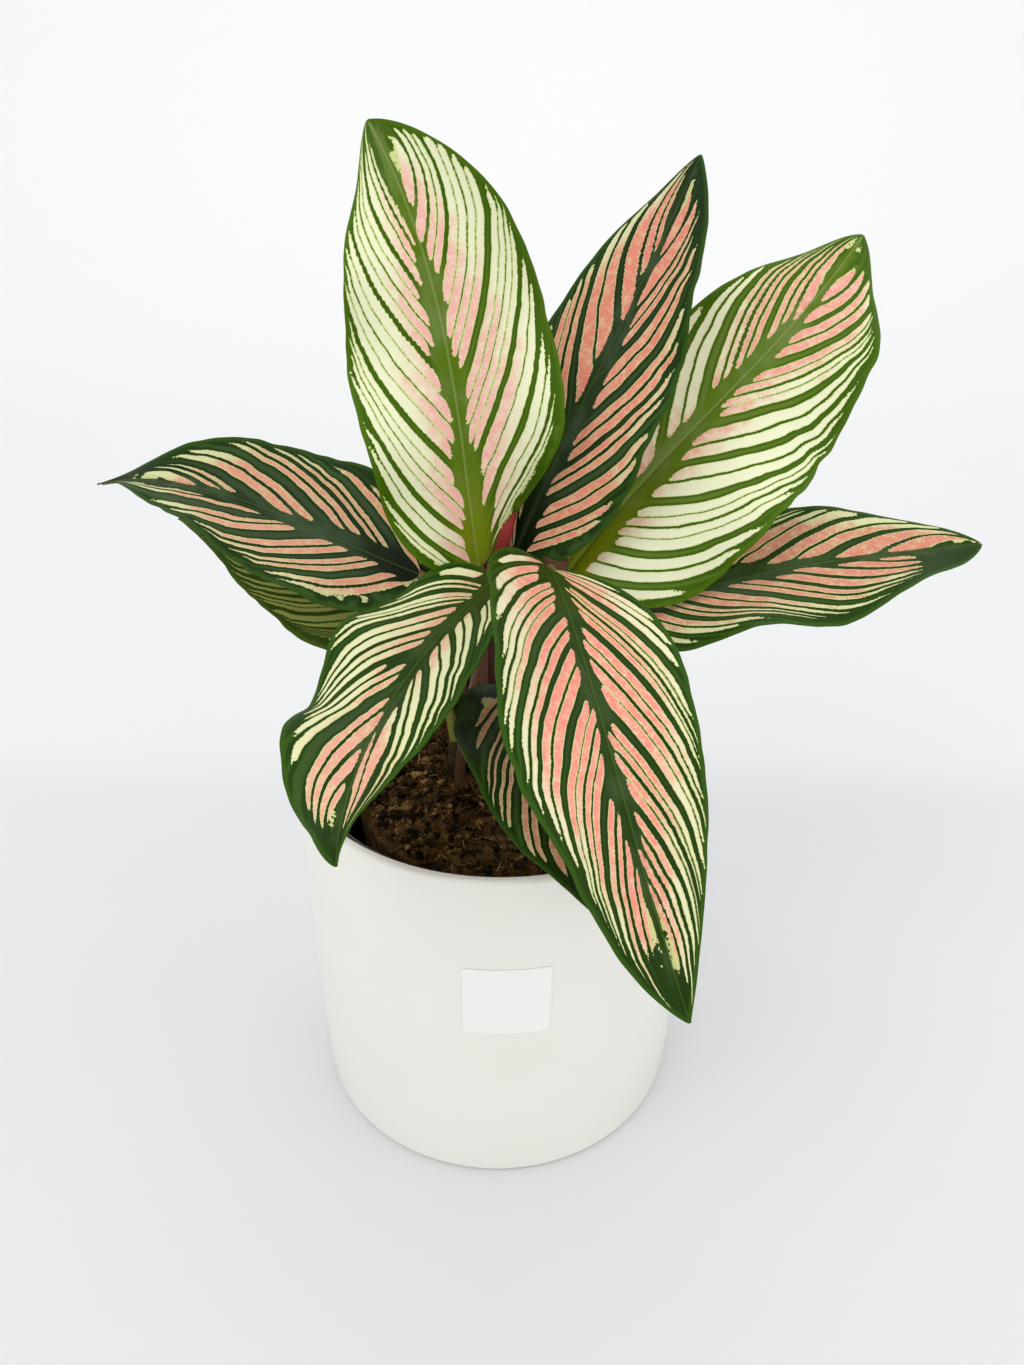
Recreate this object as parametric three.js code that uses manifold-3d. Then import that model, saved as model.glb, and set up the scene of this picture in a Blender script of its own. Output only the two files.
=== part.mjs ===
// Potted star calathea: a glazed cover pot, the grower's plastic pot inside it, its soil, nine open
// leaves on their stalks and one young leaf that is still rolled.
// Millimetres, +Z up. The origin is the middle of the cover pot's base, on the table.
// The front of the plant looks towards -Y, and +X is to its right.

import * as THREE from 'three';
import { mergeVertices } from 'three/addons/utils/BufferGeometryUtils.js';
import Module from 'manifold-3d';

// Driving dimensions of the cover pot
const POT_HEIGHT = 125.5;
const POT_TOP_RADIUS = 66;
const POT_FOOT_RADIUS = 62.8;
const POT_WALL = 3.3;
const POT_FLOOR = 5;
const POT_RIM_ROUND = 1.2;
const POT_FOOT_ROUND = 2.4;
const POT_INNER_CORNER = 4;
const POT_SEGMENTS = 64;

// Where a rounded edge's middle stands in from both faces, as a share of its radius
const ROUND_MIDDLE = 0.3;

// Driving dimensions of the grower's pot, a standard 12 cm one
const INNER_POT_TOP_RADIUS = 59.4;
const INNER_POT_NECK_RADIUS = 57.6;
const INNER_POT_FOOT_RADIUS = 45;
const INNER_POT_RIM_HEIGHT = 121;
const INNER_POT_LIP = 7;
const INNER_POT_LIP_STEP = 1;
const INNER_POT_LIP_FLARE = 0.4;
const INNER_POT_WALL = 1.2;
const INNER_POT_FLOOR = 1.8;
const INNER_POT_SEGMENTS = 48;
const DRAIN_HOLE_RADIUS = 4;
const DRAIN_HOLE_RING = 30;
const DRAIN_HOLES = 6;
const DRAIN_HOLE_SIDES = 12;

// Driving dimensions of the soil
const SOIL_LEVEL = 112;
const SOIL_EDGE_DIP = 0.5;
const SOIL_LUMP = 1.5;
const SOIL_MOUND_HEIGHT = 2.2;
const SOIL_MOUND_SPREAD = 22;
const SOIL_RINGS = 11;
const SOIL_SEGMENTS = 44;
const STALK_DEPTH = 18;
const HOLE_CLEARANCE = 0.4;
const HOLE_HEADROOM = 14;
const HOLE_SIDES = 12;
const SOIL_WALL_GAP = 0.6;

// Driving dimensions shared by all leaves and stalks
const BLADE_THICKNESS = 0.8;
const BLADE_ROWS = 18;
const BLADE_ROW_CROWDING = 0.11;
const BLADE_COLUMNS = [-1, -0.8, -0.55, -0.3, -0.07, 0, 0.07, 0.3, 0.55, 0.8, 1];
const BLADE_BASE_HALF_WIDTH = 1.3;
const BLADE_TIP_HALF_WIDTH = 0.4;
const KEEL_DEPTH = 1.1;
const KEEL_TAPER = 0.8;
const MIDRIB_STEPS = 72;
const STALK_FOOT_RADIUS = 2;
const STALK_FOOT_SPREAD = 22;
const STALK_RADIUS = 1.25;
const STALK_KNEE_RADIUS = 1.6;
const STALK_KNEE_LENGTH = 9;
const STALK_UPRIGHT_SHARE = 0.45;
const STALK_REACH = 9;
const STALK_SIDES = 8;
const STALK_STEPS = 13;

// Clearance between pieces that touch
const GAP = 0.35;

// The blank label on the cover pot
const LABEL_WIDTH = 26;
const LABEL_HEIGHT = 26;
const LABEL_THICKNESS = 0.4;
const LABEL_MIDDLE_HEIGHT = 80;
const LABEL_HEADING = 273;
const LABEL_STEPS = 6;

// The open leaves. foot: where the stalk stands in the soil, x and y. base: where the blade starts.
// rise: slope of the midrib at its base and tip, in degrees, with arch added halfway.
// heading: plan direction of the midrib at its base and tip, in degrees from +X towards +Y.
// roll: turn of the blade about its midrib at its base and tip. The pairs after it are for the
// left and the right half, seen from above with the tip ahead: the half width, the angle at which
// the half lifts from the midrib, the angle by which it curls down again towards its margin,
// how blunt its outline is at the base and the tip, where larger is more pointed, and the wave of
// its margin. reach: how far below the base the stalk turns into the midrib's direction, where it
// isn't the usual distance.
const LEAVES = [
  {
    name: 'tall_left', foot: [-5, 3], base: [-6.8, 3, 187.2], length: 122.5,
    rise: [81, 50], arch: 12.5, heading: [162, 142], roll: [-38.5, -56],
    halfWidth: [27.8, 31.4], lift: [8, 2.5], curl: [15, 11.5],
    outline: [[0.5, 0.73], [0.7, 0.78]],
    wave: [
      { height: 5, count: 2.5, phase: 0.44 },
      { height: 8.5, count: 1.7, phase: 0.74 },
    ],
    colour: '#a9bd7e',
  },
  {
    name: 'back_middle', foot: [6, 12], reach: 4, base: [3.7, 16.4, 185.3], length: 126,
    rise: [65, 63.5], arch: -5, heading: [33, 32], roll: [22.5, 9],
    halfWidth: [27.6, 28.8], lift: [11, 11.5], curl: [17.5, 15],
    outline: [[0.44, 0.74], [0.42, 0.78]],
    wave: [
      { height: 0.9, count: 2.65, phase: 0.27 },
      { height: 1.7, count: 2.9, phase: 0.21 },
    ],
    colour: '#6c7a5c',
  },
  {
    name: 'right_high', foot: [11, 8], base: [20.8, 13.4, 182.3], length: 147,
    rise: [50.5, 39], arch: -10.5, heading: [25, 45.5], roll: [38.5, 36],
    halfWidth: [31, 38.4], lift: [10, 9], curl: [18, 14],
    outline: [[0.39, 0.7], [0.33, 0.63]],
    wave: [
      { height: 2.9, count: 2.55, phase: 0.44 },
      { height: 6.5, count: 2.3, phase: 0.5 },
    ],
    colour: '#8fa566',
  },
  {
    name: 'right_low', foot: [13, 2], base: [29.7, 8.9, 167], length: 122.5,
    rise: [23, 4], arch: -4, heading: [5, 6.5], roll: [14, 15],
    halfWidth: [27.2, 27.6], lift: [13.5, 11], curl: [11.5, 17.5],
    outline: [[0.53, 0.78], [0.52, 0.78]],
    wave: [
      { height: 1.1, count: 2.65, phase: 0.55 },
      { height: 4, count: 2.25, phase: 0.44 },
    ],
    colour: '#74775d',
  },
  {
    name: 'left', foot: [-10, 8], base: [-24.7, 4.8, 184], length: 111.5,
    rise: [15.5, -17], arch: 14, heading: [164.5, 163], roll: [-38, -11.5],
    halfWidth: [26, 25.6], lift: [16, 17], curl: [7.5, 4],
    outline: [[0.44, 1.09], [0.42, 0.98]],
    wave: [
      { height: 1.7, count: 3, phase: 0.49 },
      { height: 2.8, count: 1.6, phase: 0.15 },
    ],
    colour: '#6d755e',
  },
  {
    name: 'left_under', foot: [-14, 3], base: [-26.9, 10.8, 158], length: 94,
    rise: [25, -3.5], arch: 9.5, heading: [153.5, 160], roll: [-25, -20],
    halfWidth: [21.6, 21], lift: [3, 4], curl: [17, 15],
    outline: [[0.61, 1.11], [0.51, 0.97]],
    wave: [
      { height: 1.2, count: 3.1, phase: 0.81 },
      { height: 2, count: 2.8, phase: 0.5 },
    ],
    colour: '#70773f',
  },
  {
    name: 'front_left', foot: [-13, -4], base: [-1.3, -10, 190.3], length: 106.5,
    rise: [-27, -10], arch: 3.5, heading: [224.5, 275.5], roll: [3, 23.5],
    halfWidth: [23.8, 25.6], lift: [19.5, 18], curl: [10.5, 12],
    outline: [[0.32, 0.95], [0.37, 0.68]],
    wave: [
      { height: 5.2, count: 0.9, phase: 0.2 },
      { height: 3.9, count: 3, phase: 0.27 },
    ],
    colour: '#7d8b66',
  },
  {
    name: 'front_right', foot: [7, -3], base: [14.5, -3.8, 189.6], length: 133.5,
    rise: [-0.5, -41], arch: -14.5, heading: [279.5, 293.5], roll: [-26, 7.5],
    halfWidth: [25.2, 33.2], lift: [19.5, 19], curl: [-2, 2.5],
    outline: [[0.49, 0.94], [0.45, 0.82]],
    wave: [
      { height: 0.4, count: 2.65, phase: 0.5 },
      { height: 3.9, count: 2.25, phase: 0.6 },
    ],
    colour: '#7b8263',
  },
  {
    name: 'front_small', foot: [1, -9], base: [3, -13.6, 155.8], length: 86.5,
    rise: [2, -30], arch: 1.5, heading: [281, 292.5], roll: [-6, 4.5],
    halfWidth: [19.6, 22.6], lift: [13, 16], curl: [15, 4.5],
    outline: [[0.52, 0.9], [0.59, 0.96]],
    wave: [
      { height: 2, count: 2.8, phase: 0.5 },
      { height: 2.2, count: 2.25, phase: 0.18 },
    ],
    colour: '#4c5a41',
  },
];

// The young leaf, still rolled up lengthwise, on its own stalk
const YOUNG = { name: 'young', foot: [-3, 9], base: [-0.6, 14.6, 180], tip: [-3, 25, 254] };
const YOUNG_RADIUS = 4;
const YOUNG_SIDES = 14;
const YOUNG_STEPS = 12;
const YOUNG_OVERLAP = 0.9;
const YOUNG_TWIST = 1.2;

// Surface finishes
const finish = (color, roughness) => new THREE.MeshStandardMaterial({ color, roughness, metalness: 0 });
const GLAZE = '#efece4';
const BLACK_PLASTIC = '#232322';
const SOIL_BROWN = '#3a2a1f';
const LABEL_WHITE = '#f7f7f4';
const STALK_PINK = '#8a5a45';
const STALK_GREEN = '#9a9a3a';
const YOUNG_RED = '#7c2f3a';

const wasm = await Module();
wasm.setup();

const radians = THREE.MathUtils.degToRad;
const mix = THREE.MathUtils.lerp;

// A closed body from a geometry, ready to be cut or joined.
function solidOf(geometry) {
  const bare = geometry.clone();
  bare.deleteAttribute('normal');
  bare.deleteAttribute('uv');
  const merged = mergeVertices(bare, 1e-4);
  const vertProperties = new Float32Array(merged.attributes.position.array);
  const triVerts = new Uint32Array(merged.index.array);
  return new wasm.Manifold(new wasm.Mesh({ numProp: 3, vertProperties, triVerts }));
}

function geometryOf(solid) {
  const mesh = solid.getMesh();
  const geometry = new THREE.BufferGeometry();
  geometry.setAttribute('position', new THREE.BufferAttribute(new Float32Array(mesh.vertProperties), 3));
  geometry.setIndex(new THREE.BufferAttribute(new Uint32Array(mesh.triVerts), 1));
  return geometry;
}

function indexed(points, faces) {
  const geometry = new THREE.BufferGeometry();
  const flat = points.flatMap((p) => [p.x, p.y, p.z]);
  geometry.setAttribute('position', new THREE.Float32BufferAttribute(flat, 3));
  geometry.setIndex(faces.flat());
  geometry.computeVertexNormals();
  return geometry;
}

// A profile of [radius, height] pairs turned about the Z axis.
function turned(profile, segments) {
  const points = profile.map(([radius, height]) => new THREE.Vector2(radius, height));
  return new THREE.LatheGeometry(points, segments).rotateX(Math.PI / 2);
}

function uprightCylinder(radius, height, sides) {
  return new THREE.CylinderGeometry(radius, radius, height, sides).rotateX(Math.PI / 2);
}

// A closed skin over rings of points that all run the same way round, with a fan at each end.
function skinned(rings) {
  const sides = rings[0].length;
  const points = rings.flat();
  const faces = [];
  for (let r = 0; r < rings.length - 1; r += 1) {
    for (let k = 0; k < sides; k += 1) {
      const a = r * sides + k;
      const b = r * sides + ((k + 1) % sides);
      faces.push([a, b, b + sides], [a, b + sides, a + sides]);
    }
  }
  const middleOf = (ring) => ring.reduce((sum, p) => sum.add(p), new THREE.Vector3()).divideScalar(sides);
  const first = points.push(middleOf(rings[0])) - 1;
  const last = points.push(middleOf(rings.at(-1))) - 1;
  const lastRing = (rings.length - 1) * sides;
  for (let k = 0; k < sides; k += 1) {
    const next = (k + 1) % sides;
    faces.push([first, next, k], [last, lastRing + k, lastRing + next]);
  }
  return indexed(points, faces);
}

// The cover pot: a thick round wall that widens slightly upwards, with a soft rim and foot.
function coverPot() {
  const wallRadius = (height) => mix(POT_FOOT_RADIUS, POT_TOP_RADIUS, height / POT_HEIGHT);
  const innerRadius = (height) => wallRadius(height) - POT_WALL;
  const rimLow = POT_HEIGHT - POT_RIM_ROUND;
  const outerRim = wallRadius(rimLow);
  const innerRim = innerRadius(rimLow);
  const soft = POT_RIM_ROUND * ROUND_MIDDLE;
  const footSoft = POT_FOOT_ROUND * ROUND_MIDDLE;
  return turned([
    [0, 0],
    [POT_FOOT_RADIUS - POT_FOOT_ROUND, 0],
    [POT_FOOT_RADIUS - footSoft, footSoft],
    [wallRadius(POT_FOOT_ROUND), POT_FOOT_ROUND],
    [outerRim, rimLow],
    [outerRim - soft, POT_HEIGHT - soft],
    [outerRim - POT_RIM_ROUND, POT_HEIGHT],
    [innerRim + POT_RIM_ROUND, POT_HEIGHT],
    [innerRim + soft, POT_HEIGHT - soft],
    [innerRim, rimLow],
    [innerRadius(POT_FLOOR + POT_INNER_CORNER), POT_FLOOR + POT_INNER_CORNER],
    [innerRadius(POT_FLOOR) - POT_INNER_CORNER, POT_FLOOR],
    [0, POT_FLOOR],
  ], POT_SEGMENTS);
}

const INNER_POT_FOOT = POT_FLOOR + GAP;
const LIP_BOTTOM = INNER_POT_RIM_HEIGHT - INNER_POT_LIP;

// Inside radius of the grower's pot at a height below its lip.
function innerPotInside(height) {
  const share = (height - INNER_POT_FOOT) / (LIP_BOTTOM - INNER_POT_FOOT);
  return mix(INNER_POT_FOOT_RADIUS, INNER_POT_NECK_RADIUS, share) - INNER_POT_WALL;
}

// The grower's pot: a thin tapered wall with an outward lip and a ring of drain holes.
function growersPot() {
  const floorTop = INNER_POT_FOOT + INNER_POT_FLOOR;
  const lipTop = INNER_POT_TOP_RADIUS + INNER_POT_LIP_FLARE;
  const body = solidOf(turned([
    [0, INNER_POT_FOOT],
    [INNER_POT_FOOT_RADIUS, INNER_POT_FOOT],
    [INNER_POT_NECK_RADIUS, LIP_BOTTOM],
    [INNER_POT_TOP_RADIUS, LIP_BOTTOM + INNER_POT_LIP_STEP],
    [lipTop, INNER_POT_RIM_HEIGHT],
    [lipTop - INNER_POT_WALL, INNER_POT_RIM_HEIGHT],
    [INNER_POT_TOP_RADIUS - INNER_POT_WALL, LIP_BOTTOM + 2 * INNER_POT_LIP_STEP],
    [INNER_POT_NECK_RADIUS - INNER_POT_WALL, LIP_BOTTOM + INNER_POT_LIP_STEP],
    [innerPotInside(floorTop), floorTop],
    [0, floorTop],
  ], INNER_POT_SEGMENTS));
  let cut = body;
  for (let k = 0; k < DRAIN_HOLES; k += 1) {
    const angle = (2 * Math.PI * k) / DRAIN_HOLES;
    const hole = uprightCylinder(DRAIN_HOLE_RADIUS, 4 * INNER_POT_FLOOR, DRAIN_HOLE_SIDES);
    hole.translate(DRAIN_HOLE_RING, 0, INNER_POT_FOOT);
    hole.rotateZ(angle);
    cut = cut.subtract(solidOf(hole));
  }
  return geometryOf(cut);
}

// Height of the lumpy soil surface: coarse and fine waves that never repeat, highest round the stalks.
function soilHeight(x, y) {
  const across = Math.sin(0.34 * x + 1.7 * Math.sin(0.21 * y));
  const coarse = across * Math.cos(0.29 * y - 0.9 * Math.sin(0.17 * x));
  const middling = Math.sin(0.71 * x + 0.43 * y + 1.1) * Math.sin(0.52 * y - 0.66 * x + 0.4);
  const fine = Math.sin(1.37 * x - 0.8 * y) * Math.cos(1.21 * y + 0.5 * x);
  const mound = SOIL_MOUND_HEIGHT * Math.exp(-((Math.hypot(x, y) / SOIL_MOUND_SPREAD) ** 2));
  return SOIL_LEVEL + mound + SOIL_LUMP * (coarse + 0.8 * middling + 0.6 * fine);
}

// The soil fills the grower's pot, and each stalk stands in a plain round hole.
function soil(feet) {
  const bottom = INNER_POT_FOOT + INNER_POT_FLOOR + GAP;
  const points = [];
  const faces = [];
  const topRadius = innerPotInside(SOIL_LEVEL) - SOIL_WALL_GAP;
  for (let r = 1; r <= SOIL_RINGS; r += 1) {
    for (let k = 0; k < SOIL_SEGMENTS; k += 1) {
      const angle = (2 * Math.PI * (k + 0.5 * (r % 2))) / SOIL_SEGMENTS;
      const radius = (topRadius * r) / SOIL_RINGS;
      const x = radius * Math.cos(angle);
      const y = radius * Math.sin(angle);
      const atWall = r === SOIL_RINGS;
      points.push(new THREE.Vector3(x, y, atWall ? SOIL_LEVEL - SOIL_EDGE_DIP : soilHeight(x, y)));
    }
  }
  for (let k = 0; k < SOIL_SEGMENTS; k += 1) {
    const angle = (2 * Math.PI * (k + 0.5 * (SOIL_RINGS % 2))) / SOIL_SEGMENTS;
    const radius = innerPotInside(bottom) - SOIL_WALL_GAP;
    points.push(new THREE.Vector3(radius * Math.cos(angle), radius * Math.sin(angle), bottom));
  }
  const top = points.push(new THREE.Vector3(0, 0, soilHeight(0, 0))) - 1;
  const base = points.push(new THREE.Vector3(0, 0, bottom)) - 1;
  for (let k = 0; k < SOIL_SEGMENTS; k += 1) {
    const next = (k + 1) % SOIL_SEGMENTS;
    faces.push([top, k, next]);
    for (let r = 0; r < SOIL_RINGS; r += 1) {
      const a = r * SOIL_SEGMENTS + k;
      const b = r * SOIL_SEGMENTS + next;
      const staggered = r % 2 === 0 && r < SOIL_RINGS - 1;
      const c = a + SOIL_SEGMENTS;
      const d = b + SOIL_SEGMENTS;
      faces.push(...(staggered ? [[a, d, b], [a, c, d]] : [[a, c, b], [b, c, d]]));
    }
    const a = SOIL_RINGS * SOIL_SEGMENTS + k;
    const b = SOIL_RINGS * SOIL_SEGMENTS + next;
    faces.push([base, b, a]);
  }
  let body = solidOf(indexed(points, faces));
  for (const [x, y] of feet) {
    const height = STALK_DEPTH + HOLE_HEADROOM;
    const hole = uprightCylinder(STALK_FOOT_RADIUS + HOLE_CLEARANCE, height, HOLE_SIDES);
    hole.translate(x, y, SOIL_LEVEL - STALK_DEPTH - GAP + height / 2);
    body = body.subtract(solidOf(hole));
  }
  return geometryOf(body);
}

// Direction of the midrib at a share u of its length.
function midribDirection(leaf, u) {
  const rise = radians(mix(leaf.rise[0], leaf.rise[1], u) + leaf.arch * 4 * u * (1 - u));
  const heading = radians(mix(leaf.heading[0], leaf.heading[1], u));
  return new THREE.Vector3(
    Math.cos(rise) * Math.cos(heading),
    Math.cos(rise) * Math.sin(heading),
    Math.sin(rise),
  );
}

// The blade's own axes at u: ahead along the midrib, up out of its upper face, and to its right.
function bladeAxes(leaf, u) {
  const ahead = midribDirection(leaf, u);
  const level = new THREE.Vector3(ahead.y, -ahead.x, 0).normalize();
  const up = new THREE.Vector3().crossVectors(level, ahead);
  up.applyAxisAngle(ahead, radians(mix(leaf.roll[0], leaf.roll[1], u)));
  const right = new THREE.Vector3().crossVectors(ahead, up);
  return { ahead, up, right };
}

// Points along the midrib, walked from the base in short equal steps.
function midribPoints(leaf) {
  const step = leaf.length / MIDRIB_STEPS;
  const points = [new THREE.Vector3(...leaf.base)];
  for (let k = 0; k < MIDRIB_STEPS; k += 1) {
    const ahead = midribDirection(leaf, (k + 0.5) / MIDRIB_STEPS);
    points.push(points.at(-1).clone().addScaledVector(ahead, step));
  }
  return points;
}

// Half width at u as a share of the widest: blunt at the base and drawn to a point at the tip.
function outlineShare(leaf, side, u) {
  const [blunt, pointed] = leaf.outline[side];
  const widest = blunt / (blunt + pointed);
  const shape = (at) => at ** blunt * (1 - at) ** pointed;
  return shape(u) / shape(widest);
}

// How far a half reaches sideways and upwards at a share of its width, as it lifts and curls.
function acrossCurve(lift, curl, share) {
  const angle = lift - curl * share;
  if (Math.abs(curl) < 1e-6) {
    return { out: share * Math.cos(lift), up: share * Math.sin(lift), angle };
  }
  const out = (Math.sin(lift) - Math.sin(angle)) / curl;
  const up = (Math.cos(angle) - Math.cos(lift)) / curl;
  return { out, up, angle };
}

// One point of the blade's middle surface, and its normal. v runs from -1 left to 1 right.
function bladePoint(leaf, midrib, u, v) {
  const place = u * MIDRIB_STEPS;
  const k = Math.min(Math.floor(place), MIDRIB_STEPS - 1);
  const centre = midrib[k].clone().lerp(midrib[k + 1], place - k);
  const { up, right } = bladeAxes(leaf, u);
  const side = v < 0 ? 0 : 1;
  const sign = v < 0 ? -1 : 1;
  const share = Math.abs(v);
  const least = mix(BLADE_BASE_HALF_WIDTH, BLADE_TIP_HALF_WIDTH, u);
  const halfWidth = Math.hypot(leaf.halfWidth[side] * outlineShare(leaf, side, u), least);
  const { out, up: rise, angle } = acrossCurve(radians(leaf.lift[side]), radians(leaf.curl[side]), share);
  const { height, count, phase } = leaf.wave[side];
  const swell = Math.sqrt(Math.max(0, Math.sin(Math.PI * u)));
  const wave = height * Math.sin(2 * Math.PI * (count * u + phase)) * swell * share * share;
  centre.addScaledVector(right, sign * halfWidth * out);
  centre.addScaledVector(up, halfWidth * rise + wave);
  const normal = up.clone().multiplyScalar(Math.cos(angle));
  normal.addScaledVector(right, -sign * Math.sin(angle));
  return { centre, normal };
}

// A blade: the waved upper and lower faces, triangulated alike, joined round the margin, with the
// midrib standing out below as a keel.
function blade(leaf) {
  const midrib = midribPoints(leaf);
  const columns = BLADE_COLUMNS.length;
  const upper = [];
  const lower = [];
  for (let r = 0; r <= BLADE_ROWS; r += 1) {
    const even = r / BLADE_ROWS;
    const u = even - BLADE_ROW_CROWDING * Math.sin(2 * Math.PI * even);
    for (const v of BLADE_COLUMNS) {
      const { centre, normal } = bladePoint(leaf, midrib, u, v);
      const keel = v === 0 ? KEEL_DEPTH * (1 - KEEL_TAPER * u) : 0;
      upper.push(centre.clone().addScaledVector(normal, BLADE_THICKNESS / 2));
      lower.push(centre.clone().addScaledVector(normal, -BLADE_THICKNESS / 2 - keel));
    }
  }
  const faces = [];
  const under = upper.length;
  for (let r = 0; r < BLADE_ROWS; r += 1) {
    for (let c = 0; c < columns - 1; c += 1) {
      const a = r * columns + c;
      const b = a + 1;
      const p = a + columns;
      const q = b + columns;
      const left = c < (columns - 1) / 2;
      const halves = left ? [[a, b, p], [b, q, p]] : [[a, b, q], [a, q, p]];
      for (const [i, j, m] of halves) {
        faces.push([i, j, m], [under + i, under + m, under + j]);
      }
    }
  }
  const count = (length, placeOf) => Array.from({ length }, (_, k) => placeOf(k));
  const border = [
    ...count(columns - 1, (c) => c),
    ...count(BLADE_ROWS, (r) => r * columns + columns - 1),
    ...count(columns - 1, (c) => BLADE_ROWS * columns + columns - 1 - c),
    ...count(BLADE_ROWS, (r) => (BLADE_ROWS - r) * columns),
  ];
  border.forEach((a, k) => {
    const b = border[(k + 1) % border.length];
    faces.push([a, under + a, b], [b, under + a, under + b]);
  });
  return indexed([...upper, ...lower], faces);
}

// Radius of a stalk at a distance from the soil and from its top: a sheathing foot, a slim middle
// and a swollen knee just under the blade.
function stalkRadius(fromSoil, fromTop) {
  const foot = (STALK_FOOT_RADIUS - STALK_RADIUS) * Math.exp(-fromSoil / STALK_FOOT_SPREAD);
  const knee = (STALK_KNEE_RADIUS - STALK_RADIUS) * Math.exp(-((fromTop / STALK_KNEE_LENGTH) ** 2));
  return STALK_RADIUS + foot + knee;
}

// A stalk from its hole in the soil up to the base of what it carries, which leaves it along ahead.
function stalk([footX, footY], end, ahead, reach) {
  const foot = new THREE.Vector3(footX, footY, SOIL_LEVEL);
  const top = end.clone().addScaledVector(ahead, -GAP);
  const height = top.z - foot.z;
  const curve = new THREE.CubicBezierCurve3(
    foot,
    foot.clone().add(new THREE.Vector3(0, 0, height * STALK_UPRIGHT_SHARE)),
    top.clone().addScaledVector(ahead, -reach),
    top,
  );
  const length = curve.getLength();
  const frames = curve.computeFrenetFrames(STALK_STEPS, false);
  const ring = (centre, across, other, radius) => {
    const points = [];
    for (let k = 0; k < STALK_SIDES; k += 1) {
      const angle = (2 * Math.PI * k) / STALK_SIDES;
      const point = centre.clone().addScaledVector(across, radius * Math.cos(angle));
      points.push(point.addScaledVector(other, radius * Math.sin(angle)));
    }
    return points;
  };
  const buried = foot.clone().add(new THREE.Vector3(0, 0, -STALK_DEPTH));
  const rings = [ring(buried, frames.normals[0], frames.binormals[0], STALK_FOOT_RADIUS)];
  for (let k = 0; k <= STALK_STEPS; k += 1) {
    const along = (k / STALK_STEPS) * length;
    const radius = stalkRadius(along, length - along);
    rings.push(ring(curve.getPointAt(k / STALK_STEPS), frames.normals[k], frames.binormals[k], radius));
  }
  return skinned(rings);
}

// The young leaf: a slim roll whose outer edge overlaps, so its section is a snail's step.
function youngLeaf() {
  const base = new THREE.Vector3(...YOUNG.base);
  const axis = new THREE.Vector3(...YOUNG.tip).sub(base);
  const length = axis.length();
  const ahead = axis.clone().normalize();
  const across = new THREE.Vector3(1, 0, 0).cross(ahead).normalize();
  const other = new THREE.Vector3().crossVectors(ahead, across);
  const rings = [];
  for (let r = 0; r <= YOUNG_STEPS; r += 1) {
    const u = r / YOUNG_STEPS;
    const swell = Math.hypot(Math.sin(Math.PI * u ** 0.75) ** 0.8, 0.3 * (1 - u) + 0.1);
    const ring = [];
    for (let k = 0; k < YOUNG_SIDES; k += 1) {
      const turn = k / YOUNG_SIDES;
      const angle = 2 * Math.PI * turn + YOUNG_TWIST * u;
      const radius = YOUNG_RADIUS * swell * (1 - (YOUNG_OVERLAP / YOUNG_RADIUS) * (1 - turn));
      const point = base.clone().addScaledVector(ahead, u * length);
      point.addScaledVector(across, radius * Math.cos(angle));
      ring.push(point.addScaledVector(other, radius * Math.sin(angle)));
    }
    rings.push(ring);
  }
  return skinned(rings);
}

// The blank label: a thin patch bent round the pot's wall.
function blankLabel() {
  const middle = mix(POT_FOOT_RADIUS, POT_TOP_RADIUS, LABEL_MIDDLE_HEIGHT / POT_HEIGHT);
  const widening = (POT_TOP_RADIUS - POT_FOOT_RADIUS) / POT_HEIGHT;
  const rings = [];
  for (let k = 0; k <= LABEL_STEPS; k += 1) {
    const angle = radians(LABEL_HEADING) + ((k / LABEL_STEPS - 0.5) * LABEL_WIDTH) / middle;
    const corner = (rise, out) => {
      const radius = middle + widening * rise + GAP + out;
      const height = LABEL_MIDDLE_HEIGHT + rise;
      return new THREE.Vector3(radius * Math.cos(angle), radius * Math.sin(angle), height);
    };
    const half = LABEL_HEIGHT / 2;
    const back = [corner(-half, 0), corner(half, 0)];
    rings.push([...back, corner(half, LABEL_THICKNESS), corner(-half, LABEL_THICKNESS)]);
  }
  return skinned(rings);
}

const plant = new THREE.Group();
plant.name = 'potted_star_calathea';

function add(parent, name, geometry, material) {
  const mesh = new THREE.Mesh(geometry, material);
  mesh.name = name;
  parent.add(mesh);
}

const holder = new THREE.Group();
holder.name = 'holder';
plant.add(holder);
add(holder, 'cover_pot', coverPot(), finish(GLAZE, 0.25));
add(holder, 'blank_label', blankLabel(), finish(LABEL_WHITE, 0.7));
add(holder, 'growers_pot', growersPot(), finish(BLACK_PLASTIC, 0.55));
add(holder, 'soil', soil([...LEAVES, YOUNG].map((leaf) => leaf.foot)), finish(SOIL_BROWN, 0.95));

const foliage = new THREE.Group();
foliage.name = 'foliage';
plant.add(foliage);
for (const leaf of LEAVES) {
  const reach = leaf.reach ?? STALK_REACH;
  const colour = leaf.name === 'left_under' ? STALK_GREEN : STALK_PINK;
  const end = new THREE.Vector3(...leaf.base);
  add(foliage, `leaf_${leaf.name}`, blade(leaf), finish(leaf.colour, 0.45));
  const stem = stalk(leaf.foot, end, midribDirection(leaf, 0), reach);
  add(foliage, `stalk_${leaf.name}`, stem, finish(colour, 0.5));
}
const youngBase = new THREE.Vector3(...YOUNG.base);
const youngAhead = new THREE.Vector3(...YOUNG.tip).sub(youngBase).normalize();
add(foliage, 'leaf_young', youngLeaf(), finish(YOUNG_RED, 0.5));
add(foliage, 'stalk_young', stalk(YOUNG.foot, youngBase, youngAhead, STALK_REACH), finish(STALK_PINK, 0.5));

export default plant;
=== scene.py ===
"""Potted star calathea: the looks of the plant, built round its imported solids.

Metres, +Z up. The origin is the middle of the cover pot's base, and the plant's front looks
towards -Y. Leaf, stalk and soil shapes follow the same formulas as the solids, more finely, so
their sizes are given in millimetres as there.
"""

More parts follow.
